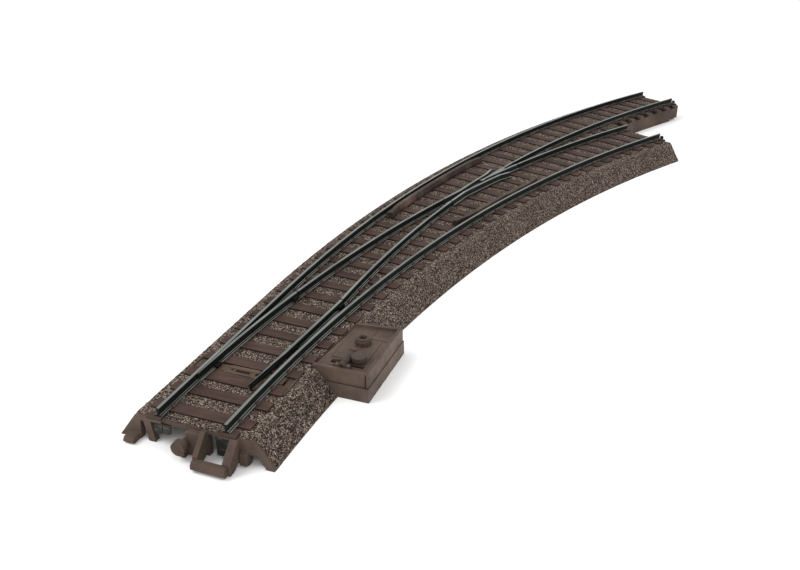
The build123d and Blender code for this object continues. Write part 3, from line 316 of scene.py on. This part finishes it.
def ballast_material(name):
    """Crushed stone: one tone per stone, dark joints between, darker grit and patches, and painted
    light that brightens up-facing faces and darkens steep ones.
    """
    s = Shade(name)
    wander = s.noise(1900, 2, rough=0.5, output="Color")
    spot = s.vector("MULTIPLY_ADD", wander, (0.0004, 0.0004, 0.0004), s.coords)
    tone = s.part_of("SeparateColor", s.voronoi(STONE_SCALE, "F1", "Color", spot), 0)
    gap = s.voronoi(STONE_SCALE, "DISTANCE_TO_EDGE", "Distance", spot)
    grit = s.noise(7000, 3)
    patch = s.noise(420, 3)
    colour = s.ramp(tone, (0.0, srgb(48, 40, 35)), (0.22, srgb(88, 74, 66)),
                    (0.45, srgb(132, 114, 103)), (0.68, srgb(172, 153, 139)),
                    (0.88, srgb(212, 194, 178)), (1.0, srgb(110, 94, 85)))
    colour = s.mix(s.remap(grit, 0.0, 0.28, 0.4, 0.75), colour, srgb(44, 36, 33))
    colour = s.mix(s.remap(patch, 0.0, 0.12, 0.5, 0.8), colour, srgb(62, 50, 46))
    # painted light: up-facing faces are brightened and steep faces darkened
    level = s.remap(s.facing_up(), 0.8, 1.2, 0.35, 0.95)
    colour = s.mix(1.0, colour, s.grey_colour(level), "MULTIPLY")
    colour = s.mix(s.remap(gap, 1.0, 0.0, 0.02, 0.2), colour, srgb(26, 21, 19))
    height = s.plus(s.remap(gap, 0.0, 1.0, 0.0, 0.32), s.times(grit, 0.3))
    height = s.plus(height, s.times(tone, 0.8))
    return s.finish(colour, 0.85, 0.0, s.bump(height, 0.9, 0.00026), 0.08)


def bed_material(name):
    """The roadbed moulding: wood grain on the sleeper tops, plain sides, shaded deck edges, and a
    painted highlight on sharp edges.
    """
    s = Shade(name)
    cloud = s.noise(90, 3)
    grain = s.noise(1100, 6, s.scaled((1.0, 0.1, 1.0)), 0.65)
    fine = s.noise(4200, 2)
    up = s.facing_up()
    z = s.height()
    on_sleeper = s.remap(z, 0.0, 1.0, *SLEEPER_BAND)
    wood = s.ramp(cloud, (0.3, srgb(58, 44, 39)), (0.5, srgb(70, 54, 48)), (0.75, srgb(82, 64, 57)))
    wood = s.mix(s.remap(grain, 0.5, 0.0, 0.32, 0.55), wood, srgb(44, 33, 31))
    side = s.ramp(cloud, (0.3, srgb(66, 54, 47)), (0.5, srgb(80, 67, 59)), (0.75, srgb(95, 80, 71)))
    side = s.mix(s.remap(s.noise(650, 5), 0.0, 0.3, 0.5, 0.75), side, srgb(54, 44, 40))
    shade = s.times(s.remap(z, 0.0, 1.0, *DECK_BAND), s.remap(up, 1.0, 0.0, 0.5, 0.9))
    side = s.mix(s.times(shade, 0.75), side, srgb(30, 23, 21))
    colour = s.mix(s.times(s.remap(up, 0.0, 1.0, 0.5, 0.95), on_sleeper), side, wood)
    # painted highlight: sharp edges are mixed towards a light brown
    colour = s.mix(s.times(s.edges(0.00018), 0.5), colour, srgb(122, 104, 94))
    height = s.plus(s.times(grain, on_sleeper), s.times(fine, 0.3))
    normal = s.bump(height, 0.6, 0.00012, s.rounded(EDGE_ROUNDING))
    return s.finish(colour, s.remap(grain, 0.75, 0.52, 0.3, 0.7), 0.0, normal, 0.1)


def worn_head(s, run):
    """Colour of a running surface that wheels keep bright."""
    return s.ramp(run, (0.3, srgb(96, 102, 98)), (0.7, srgb(140, 146, 141)))


def rail_material(name):
    """Profiled rail: worn head, dark sides, and two painted highlight lines along the foot."""
    s = Shade(name)
    z = s.height()
    run = s.noise(600, 5, s.scaled((0.1, 0.5, 1.0)))
    spots = s.noise(1100, 4)
    up = s.facing_up()
    head = s.times(s.remap(z, 0.0, 1.0, *HEAD_BAND), s.remap(up, 0.0, 1.0, 0.2, 0.6))
    # painted highlights: two thin bright lines along the sloped foot top, picked out by height, with
    # a dark line between
    below, above = FOOT_HIGHLIGHT_BANDS
    lines = s.plus(s.remap(z, 1.0, 0.0, *below), s.remap(z, 0.0, 1.0, *above))
    lines = s.times(lines, s.remap(z, 1.0, 0.0, *WEB_BAND))
    foot = s.times(lines, s.remap(up, 0.0, 1.0, 0.35, 0.7))
    web = s.ramp(spots, (0.3, srgb(12, 12, 12)), (0.6, srgb(24, 24, 23)), (0.85, srgb(44, 42, 39)))
    # colour of the painted highlights on the foot
    bright = s.ramp(run, (0.3, srgb(110, 114, 110)), (0.7, srgb(158, 162, 156)))
    colour = s.mix(head, s.mix(foot, web, bright), worn_head(s, run))
    shine = s.plus(head, foot)
    rough = s.plus(s.remap(run, 0.24, 0.4, 0.3, 0.7), s.remap(shine, 0.35, 0.0))
    return s.finish(colour, rough, s.remap(shine, 0.0, 0.8), s.bump(run, 0.25, 0.00005),
                    s.remap(shine, 0.12, 0.5))


def frog_material(name):
    """Cast crossing: dark sides, greyer floor, a painted highlight on the low ledges, bright running
    faces.
    """
    s = Shade(name)
    z = s.height()
    spots = s.noise(1100, 5)
    run = s.noise(500, 5, s.scaled((0.1, 0.5, 1.0)))
    up = s.remap(s.facing_up(), 0.0, 1.0, 0.3, 0.8)
    head = s.times(s.remap(z, 0.0, 1.0, *HEAD_BAND), up)
    # painted highlight: up-facing faces below the web band, the low ledges, are made bright
    ledge_highlight = s.times(up, s.remap(z, 1.0, 0.0, *WEB_BAND))
    sides = s.ramp(spots, (0.3, srgb(18, 19, 19)), (0.55, srgb(30, 32, 31)), (0.8, srgb(46, 48, 46)))
    floor = s.ramp(spots, (0.3, srgb(40, 45, 43)), (0.55, srgb(60, 67, 64)), (0.8, srgb(80, 87, 83)))
    colour = s.mix(ledge_highlight, s.mix(up, sides, floor), srgb(128, 132, 127))
    colour = s.mix(head, colour, worn_head(s, run))
    normal = s.bump(s.plus(spots, s.times(run, 0.3)), 0.35, 0.00006)
    return s.finish(colour, s.remap(head, 0.6, 0.3), s.remap(head, 0.2, 0.8), normal, 0.3)


def metal(name, dark, base, light, rough, metallic=0.9):
    """Drawn or stamped metal: brushed grain, stains, and a painted highlight on sharp edges."""
    s = Shade(name)
    dark, base, light = srgb(*dark), srgb(*base), srgb(*light)
    brushed = s.noise(2200, 5, s.scaled((1.0, 0.15, 0.6)))
    stain = s.noise(350, 4)
    colour = s.ramp(brushed, (0.3, dark), (0.5, base), (0.75, light))
    colour = s.mix(s.remap(stain, 0.0, 0.45, 0.5, 0.75), colour, dark)
    # painted highlight: sharp edges are mixed towards the light colour
    colour = s.mix(s.times(s.edges(0.00012), 0.5), colour, light)
    normal = s.bump(brushed, 0.3, 0.00004)
    return s.finish(colour, s.remap(stain, rough, rough + 0.22, 0.3, 0.7), metallic, normal)


def seam_shade_material(name):
    """Painted shade: dark sheets for the gaps and grooves between mouldings."""
    s = Shade(name)
    fine = s.noise(2600, 3)
    colour = s.ramp(fine, (0.3, srgb(20, 16, 14)), (0.7, srgb(36, 29, 26)))
    return s.finish(colour, 0.8, 0.0, s.bump(fine, 0.3, 0.00004), 0.15)


LOOKS = {
    "bed_moulding": bed_material("bed_moulding_look"),
    "rail_nickel": rail_material("rail_nickel_look"),
    "frog_casting": frog_material("frog_casting_look"),
    # the guard rails' plastic gets a strong painted highlight on its sharp edges
    "check_plastic": plastic("check_plastic_look", (56, 43, 37), (44, 33, 28), (112, 92, 80),
                             rough=0.5, grain=0.6, edge_highlight=0.9),
    "bar_plastic": plastic("bar_plastic_look", (88, 72, 61), (64, 51, 43), (118, 98, 84),
                           rough=0.5, grain=0.5),
    "box_plastic": plastic("box_plastic_look", (79, 66, 58), (60, 49, 42), (112, 94, 83),
                           rough=0.5, grain=0.35),
    "lever_plastic": plastic("lever_plastic_look", (62, 51, 45), (48, 39, 34), (98, 82, 73),
                             rough=0.45, grain=0.4),
    "contact_steel": metal("contact_steel_look", (22, 22, 21), (42, 41, 38), (96, 95, 90),
                           rough=0.42, metallic=0.6),
    "pin_steel": metal("pin_steel_look", (90, 90, 88), (140, 140, 137), (190, 190, 186), rough=0.3),
    "jumper_brass": metal("jumper_brass_look", (120, 92, 44), (172, 138, 72), (214, 184, 116),
                          rough=0.32),
    "spring_steel": metal("spring_steel_look", (88, 88, 90), (135, 135, 138), (190, 190, 194),
                          rough=0.3),
}
BALLAST = ballast_material("ballast_look")
# dark material of painted shade, for seams, grooves and pockets
SEAM_SHADE = seam_shade_material("seam_shadow_look")


def dress_nodes():
    """Gives every CAD node the look of its material slot."""
    slot_of = {row["node"]: row["material_slot"] for row in frame["record"]["subparts"]}
    for node_name, obj in frame["nodes"].items():
        look = LOOKS[slot_of[node_name]]
        materials = obj.data.materials
        if not materials:
            materials.append(look)
        for index in range(len(materials)):
            materials[index] = look


# ------------------------------------------------------------------ mesh helpers
def add_mesh(name, vertices, faces, look, body="bed"):
    """New mesh object from millimetre coordinates, riding on a CAD body."""
    data = bpy.data.meshes.new(name)
    data.from_pydata((np.asarray(vertices, float) * MM).tolist(), [], faces)
    data.materials.append(look)
    data.update()
    obj = bpy.data.objects.new(name, data)
    bpy.context.scene.collection.objects.link(obj)
    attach(obj, body)


class Trim:
    """Collects blocks and thin plates, and adds them as one piece."""

    def __init__(self):
        self.vertices = []
        self.faces = []

    def walls(self, start):
        """Four side faces between the ring of four at start and the next ring."""
        for k in range(4):
            a, b = start + k, start + (k + 1) % 4
            self.faces.append((a, b, b + 4, a + 4))

    def block(self, centre, along, half, height, base, taper=0.12):
        """Block with drawn-in top edges; along is its unit direction in plan."""
        (cx, cy), (ax, ay) = centre, along
        start = len(self.vertices)
        for level, shrink in ((base, 0.0), (base + height * 0.7, 0.0), (base + height, taper)):
            for u, v in ((-1, -1), (1, -1), (1, 1), (-1, 1)):
                du, dv = u * (half[0] - shrink), v * (half[1] - shrink)
                self.vertices.append((cx + du * ax - dv * ay, cy + du * ay + dv * ax, level))
        self.walls(start)
        self.walls(start + 4)
        self.faces.append(tuple(start + 8 + k for k in range(4)))

    def plate(self, corners, normal, thickness):
        """Thin plate over four corners, raised along a normal."""
        start = len(self.vertices)
        lift = np.asarray(normal, float) * thickness
        corners = [np.asarray(corner, float) for corner in corners]
        self.vertices += [tuple(corner) for corner in corners]
        self.vertices += [tuple(corner + lift) for corner in corners]
        self.faces.append(tuple(start + 4 + k for k in range(4)))
        self.walls(start)

    def rect(self, x_range, y_range, z, thickness):
        """Level plate over a rectangle."""
        (x0, x1), (y0, y1) = x_range, y_range
        self.plate([(x0, y0, z), (x1, y0, z), (x1, y1, z), (x0, y1, z)], (0, 0, 1), thickness)

    def add(self, name, look, slot, body="bed"):
        add_mesh(name, self.vertices, self.faces, look, body)


# ------------------------------------------------------------------ ballast relief
STONE = 0.62                    # size of a stone
STONE_SEED = 977
STONE_HEIGHT = 0.216
SKIN_LIFT = 0.035               # keeps the hollows of the skin clear of the moulding
SKIN_STEP = 0.34
SKIN_END = 0.12                 # bare strip at each track end
SLOPE_ROWS = 26
SKIN_OVERLAP = 0.35             # how far past the routes' middle line each skin reaches
SKIN_WRAP = 0.2                 # the whole width is kept from this far before the other's end
FEATHER = (0.25, 0.12)          # the lift fades within this height of the base, to this share
HASH_FACTORS = (73856093, 19349663, 83492791)
JITTER_FACTORS = (2654435761, 40503, 97531)


def cell_relief(x, y, z):
    """Height 0..1 of a heap of angular stones, one per jittered grid cell."""
    def unit(hashed, factor):
        return ((hashed * factor) & 0xFFFF) / 65535.0

    points = np.stack([x, y, z], 1) / STONE
    cell = np.floor(points).astype(np.int64)
    nearest = np.full(len(x), 9.0)
    second = np.full(len(x), 9.0)
    tone = np.zeros(len(x))
    for dx in (-1, 0, 1):
        for dy in (-1, 0, 1):
            for dz in (-1, 0, 1):
                c = cell + np.array([dx, dy, dz])
                h = STONE_SEED
                for axis, factor in enumerate(HASH_FACTORS):
                    h = h ^ (c[:, axis] * factor)
                jitter = np.stack([unit(h, factor) for factor in JITTER_FACTORS], 1)
                distance = np.linalg.norm(points - c - jitter, axis=1)
                closer = distance < nearest
                second = np.where(closer, nearest, np.minimum(second, distance))
                tone = np.where(closer, unit(h, 7919), tone)
                nearest = np.where(closer, distance, nearest)
    dome = np.clip((second - nearest) * 1.6, 0, 1)      # falls to 0 at the joints
    return dome * 0.6 + tone * 0.4


def surface_height(offset):
    """Height of the roadbed's top at an offset, counted positive towards its slope."""
    slope_offset, slope_height = SLOPE_TOP
    if offset <= SHOULDER:
        return DECK
    if offset <= slope_offset:
        t = (offset - SHOULDER) / (slope_offset - SHOULDER)
        return DECK + t * (slope_height - DECK)
    return slope_height * (BASE_HALF - offset) / (BASE_HALF - slope_offset)


def on_own_side(lead, side, x, y):
    """Where a route's skin is wanted: its own half of the bed, and past the other's end."""
    other = LEAD if lead == INNER else INNER
    other_end = OUTER_LENGTH if other == LEAD else INNER_LENGTH
    _, own_offset = route_coords(lead, x, y)
    other_station, other_offset = route_coords(other, x, y)
    half = (own_offset + other_offset) * side > -SKIN_OVERLAP
    return half | (other_station > other_end - SKIN_WRAP)


def left_bare(lead, x, y, station, offset):
    """Where the skin makes room: throw box, throw bar bay, upright wall and toe end."""
    (x0, x1), (y0, y1), slant = BOX_NOTCH
    at_box = (x > x0) & (x < x1) & (y < y1 + (x - BOX[0][0]) * slant) & (y > y0)
    (first, last), half = BAY
    in_bay = (x > first) & (x < last) & (np.abs(y) < half)
    at_end = (station < BARE_END) & (np.abs(offset) > SHOULDER)
    bare = at_box | in_bay | at_end
    if lead == LEAD:
        wall, reach = BARE_WALL
        bare |= (offset < wall) & (station > OUTER_LENGTH - reach)
    return bare


def ballast_skin(name, lead, length, side):
    """Stone relief over one route's deck and its slope; side is the sign of its slope."""
    stations = np.linspace(SKIN_END, length - SKIN_END, int(length / SKIN_STEP))
    deck = np.linspace(CUT_WALL, SHOULDER, int((SHOULDER - CUT_WALL) / SKIN_STEP))
    slope = np.linspace(SHOULDER, BASE_HALF, SLOPE_ROWS)[1:]
    reaches = np.concatenate([deck, slope])
    station, reach = np.meshgrid(stations, reaches, indexing="ij")
    offset = reach * side

    turn = np.maximum(station - lead, 0) / RADIUS
    x = np.minimum(station, lead) + (RADIUS + offset) * np.sin(turn)
    y = (RADIUS + offset) * np.cos(turn) - RADIUS
    z = np.broadcast_to([surface_height(r) for r in reaches], x.shape)
    out = np.where(reach > SLOPE_TOP[0], SLOPE_LEAN, 0.0)
    stones = cell_relief(x.ravel(), y.ravel(), z.ravel()).reshape(x.shape)
    lift = (stones * STONE_HEIGHT + SKIN_LIFT) * np.clip(z / FEATHER[0], FEATHER[1], 1)
    x = x + np.sin(turn) * out * lift * side
    y = y + np.cos(turn) * out * lift * side
    z = z + lift * np.sqrt(1 - out ** 2)

    index = np.arange(x.size).reshape(x.shape)
    quads = np.stack([index[:-1, :-1], index[1:, :-1], index[1:, 1:], index[:-1, 1:]], -1)
    quads = quads.reshape(-1, 4)
    if side < 0:
        quads = quads[:, ::-1]
    keep = on_own_side(lead, side, x, y).ravel()
    bare = left_bare(lead, x, y, station, offset).ravel()
    quads = quads[keep[quads].all(1) & ~bare[quads].any(1)]
    used, faces = np.unique(quads, return_inverse=True)
    vertices = np.stack([x.ravel(), y.ravel(), z.ravel()], 1)[used]
    add_mesh(name, vertices, faces.reshape(-1, 4).tolist(), BALLAST)


# ------------------------------------------------------------------ rail chairs and ribs
CHAIR_BLOCKS = ((1.12, (0.75, 0.42), 0.42), (0.72, (0.42, 0.3), 0.62))  # reach, half size, height


def sleeper_rows():
    """Sleeper rows as (plan centre, unit direction across the track, half length)."""
    rows = []
    for station in LONG_STATIONS:
        centre, length, angle = long_sleeper(station)
        rows.append((centre, (-math.sin(angle), math.cos(angle)), length / 2))
    middle, half = END_SLEEPER_SPAN
    for station in OUTER_STATIONS:
        turn = (station - LEAD) / RADIUS
        rows.append((route_point(LEAD, station, middle), (math.sin(turn), math.cos(turn)), half))
    return rows


def crossings(row, lead, offset):
    """Where a sleeper row crosses a line of a route: plan point, heading and station."""
    (cx, cy), (ux, uy), half = row
    t = np.linspace(-half, half, ROW_SAMPLES)
    px, py = cx + ux * t, cy + uy * t
    station, off = route_coords(lead, px, py)
    gap = off - offset
    hits = []
    for k in np.nonzero(gap[:-1] * gap[1:] <= 0)[0]:
        turn = max(station[k] - lead, 0) / RADIUS
        hits.append(((px[k], py[k]), (math.cos(turn), -math.sin(turn)), station[k]))
    return hits


def rail_chairs():
    """Moulded chairs that clip over the rail foot on both sides at every sleeper."""
    trim = Trim()
    for row in sleeper_rows():
        for lead, offset, first, last in RAIL_RUNS:
            for point, heading, station in crossings(row, lead, offset):
                if not first < station < last:
                    continue
                for side in (1, -1):
                    inside = side * offset < 0
                    if inside and BLADE_ZONE[0] < station < BLADE_ZONE[1]:
                        continue
                    across = (-heading[1] * side, heading[0] * side)
                    for reach, half, height in CHAIR_BLOCKS:
                        centre = (point[0] + across[0] * reach, point[1] + across[1] * reach)
                        trim.block(centre, heading, half, height, SLEEPER_TOP - 0.05)
    trim.add("rail_chairs", LOOKS["bed_moulding"], "bed_moulding")


def guard_ribs():
    """Support ribs on the backs of the two guard rails, one per sleeper."""
    trim = Trim()
    for row in sleeper_rows():
        for lead, offset, first, last in GUARD_RUNS:
            for point, heading, station in crossings(row, lead, offset):
                if first < station < last:
                    trim.block(point, heading, (0.45, 0.55), 1.25, SLEEPER_TOP, 0.25)
    trim.add("guard_ribs", LOOKS["check_plastic"], "check_plastic")


# ------------------------------------------------------------------ small mouldings and painted shade
def box_seam_shade():
    """Dark strips of painted shade in the throw box's upright seams, housing joint and gap, and in
    the lines on its panel.
    """
    trim = Trim()
    near, out = BOX[1]
    low, high = BOX_SEAMS
    joint_low, joint_high = BOX_SPLIT
    x = near + 0.25
    for y in (out + 0.75, out + 0.9):
        trim.plate([(x, y + 0.14, low), (x, y, low), (x, y, high), (x, y + 0.14, high)],
                   (-1, 0, 0), 0.015)
    y = out + 0.25
    trim.plate([(near + 0.85, y, low), (near + 1.0, y, low),
                (near + 1.0, y, high), (near + 0.85, y, high)], (0, -1, 0), 0.015)
    trim.plate([(near, -16.0, joint_low), (near, out, joint_low),
                (near, out, joint_high), (near, -16.0, joint_high)], (1, 0, 0), -0.012)
    start_x, start_y = BOX[0][0] - 0.2, BOX[0][1] + 0.04
    end_x, end_y = BOX[3][0] + 0.2, BOX[3][1] + 0.04
    trim.plate([(start_x, start_y, DECK), (end_x, end_y, DECK),
                (end_x, end_y + 0.38, DECK), (start_x, start_y + 0.38, DECK)],
               (0, 0, 1), 0.05)
    for x_range, y_range in (((37.2, 44.4), (-16.8, -16.65)), ((37.2, 37.35), (-20.8, -16.8)),
                             ((33.2, 36.2), (-19.1, -18.95)), ((48.4, 48.55), (-28.0, -22.9)),
                             ((48.4, 53.6), (-22.95, -22.8)), ((38.0, 41.2), (-26.3, -26.15))):
        trim.rect(x_range, y_range, BOX_PAN, 0.02)
    trim.add("box_seam_shade", SEAM_SHADE, "box_plastic")


def box_studs():
    """Grid of small studs on the box's pad, and the two knobs of the lever's bearing."""
    trim = Trim()
    for row in range(3):
        for column in range(3):
            centre = (50.0 + column * 0.75, -26.2 + row * 0.75)
            trim.block(centre, (1, 0), (0.26, 0.26), 0.1, BOX_PAD, 0.06)
    for y in (-23.05, -20.15):
        trim.block((33.15, y), (1, 0), (0.5, 0.5), 0.95, BEARING_TOP, 0.22)
    trim.add("box_studs", LOOKS["box_plastic"], "box_plastic")


def bar_trim():
    """Raised frames on the throw bar, and dark plates on it that stand in as painted shade of sunk
    spots; they travel with it.
    """
    frames = Trim()
    for x_range, y_range, height in (
            ((21.4, 24.2), (4.6, 4.8), 0.09), ((21.4, 24.2), (-5.1, -4.9), 0.09),
            ((22.0, 23.2), (-2.0, -1.8), 0.11), ((22.0, 23.2), (2.2, 2.4), 0.11),
            ((21.95, 22.1), (-2.0, 2.4), 0.13), ((21.4, 24.2), (6.2, 6.4), 0.09)):
        frames.rect(x_range, y_range, BAR_TOP, height)
    frames.add("bar_frames", LOOKS["bar_plastic"], "bar_plastic", "throw")
    # dark plates of painted shade where the bar has sunk spots
    recess_shade = Trim()
    for x_range, y_range in (((22.15, 23.15), (-1.75, 2.15)), ((21.6, 21.85), (5.0, 6.0)),
                             ((22.3, 23.6), (-4.8, -3.2)), ((22.6, 23.2), (2.9, 3.5))):
        recess_shade.rect(x_range, y_range, BAR_TOP, 0.025)
    recess_shade.add("bar_recess_shade", SEAM_SHADE, "bar_plastic", "throw")


def pocket_shade():
    """Dark plates of painted shade in the pockets under the sleeper ends in the upright wall."""
    trim = Trim()
    half = 2.2
    # painted shade: a dark floor plate and a dark upright plate in each pocket
    for station in OUTER_STATIONS:
        turn = (station - LEAD) / RADIUS
        corners = [route_point(LEAD, station + u * half, offset) for u, offset in
                   ((-1, -12.95), (1, -12.95), (1, -11.05), (-1, -11.05))]
        trim.plate([(*corner, POCKET_FLOOR) for corner in corners], (0, 0, 1), 0.03)
        left, right = [route_point(LEAD, station + u * half, -11.0) for u in (-1, 1)]
        low, high = POCKET_FLOOR + 0.03, POCKET_FLOOR + 0.95
        trim.plate([(*left, low), (*right, low), (*right, high), (*left, high)],
                   (-math.sin(turn), -math.cos(turn), 0), 0.03)
    trim.add("pocket_shade", SEAM_SHADE, "bed_moulding")


# ------------------------------------------------------------------ studio
STAGE_CENTRE = (0.15, -0.03)    # metres, under the middle of the turnout


def stage_floor():
    """Plain near-white paper, just below the base rim."""
    data = bpy.data.meshes.new("studio_floor")
    bm = bmesh.new()
    bmesh.ops.create_grid(bm, x_segments=8, y_segments=8, size=12.0)
    bm.to_mesh(data)
    bm.free()
    floor = bpy.data.objects.new("studio_floor", data)
    bpy.context.scene.collection.objects.link(floor)
    floor.location = (*STAGE_CENTRE, -0.00002)
    s = Shade("studio_paper")
    tone = s.ramp(s.noise(3, 3), (0.3, (0.93, 0.93, 0.93, 1)), (0.7, (0.96, 0.96, 0.96, 1)))
    data.materials.append(s.finish(tone, 0.9, 0.0, s.bump(s.noise(900, 2), 0.05, 0.0001), 0.1))


def area_light(name, location, target, size, energy):
    light = bpy.data.lights.new(name, "AREA")
    light.shape = "RECTANGLE"
    light.size, light.size_y = size
    light.energy = energy
    obj = bpy.data.objects.new(name, light)
    bpy.context.scene.collection.objects.link(obj)
    obj.location = location
    aim = Vector(target) - Vector(location)
    obj.rotation_euler = aim.to_track_quat("-Z", "Y").to_euler()


def studio_light():
    """White surroundings with a soft key from behind and a weak fill from the front."""
    world = bpy.data.worlds.new("studio_world")
    world.use_nodes = True
    background = world.node_tree.nodes["Background"]
    background.inputs["Color"].default_value = (1.0, 1.0, 1.0, 1)
    background.inputs["Strength"].default_value = 1.0
    bpy.context.scene.world = world
    area_light("key_light", (-0.25, 0.5, 0.75), (*STAGE_CENTRE, 0), (0.5, 0.5), 4.0)
    area_light("fill_light", (-0.3, -0.6, 0.5), (0.12, -0.03, 0), (0.8, 0.6), 1.5)
    bpy.context.scene.view_settings.view_transform = "Standard"


def photo_camera():
    """Camera at the photograph's viewpoint, solved from the gauge, sleepers and curves."""
    data = bpy.data.cameras.new("photo_camera")
    data.lens = 38.153
    data.sensor_width = 36.0
    data.clip_start = 0.01
    camera = bpy.data.objects.new("photo_camera", data)
    bpy.context.scene.collection.objects.link(camera)
    camera.location = (-0.126799, -0.096252, 0.119710)
    aim = Vector((0.834934, 0.311482, -0.453721))
    camera.rotation_euler = aim.to_track_quat("-Z", "Y").to_euler()
    bpy.context.scene.camera = camera


dress_nodes()
ballast_skin("ballast_outer", LEAD, OUTER_LENGTH, 1)
ballast_skin("ballast_inner", INNER, INNER_LENGTH, -1)
rail_chairs()
box_seam_shade()
box_studs()
bar_trim()
guard_ribs()
pocket_shade()
stage_floor()
studio_light()
photo_camera()
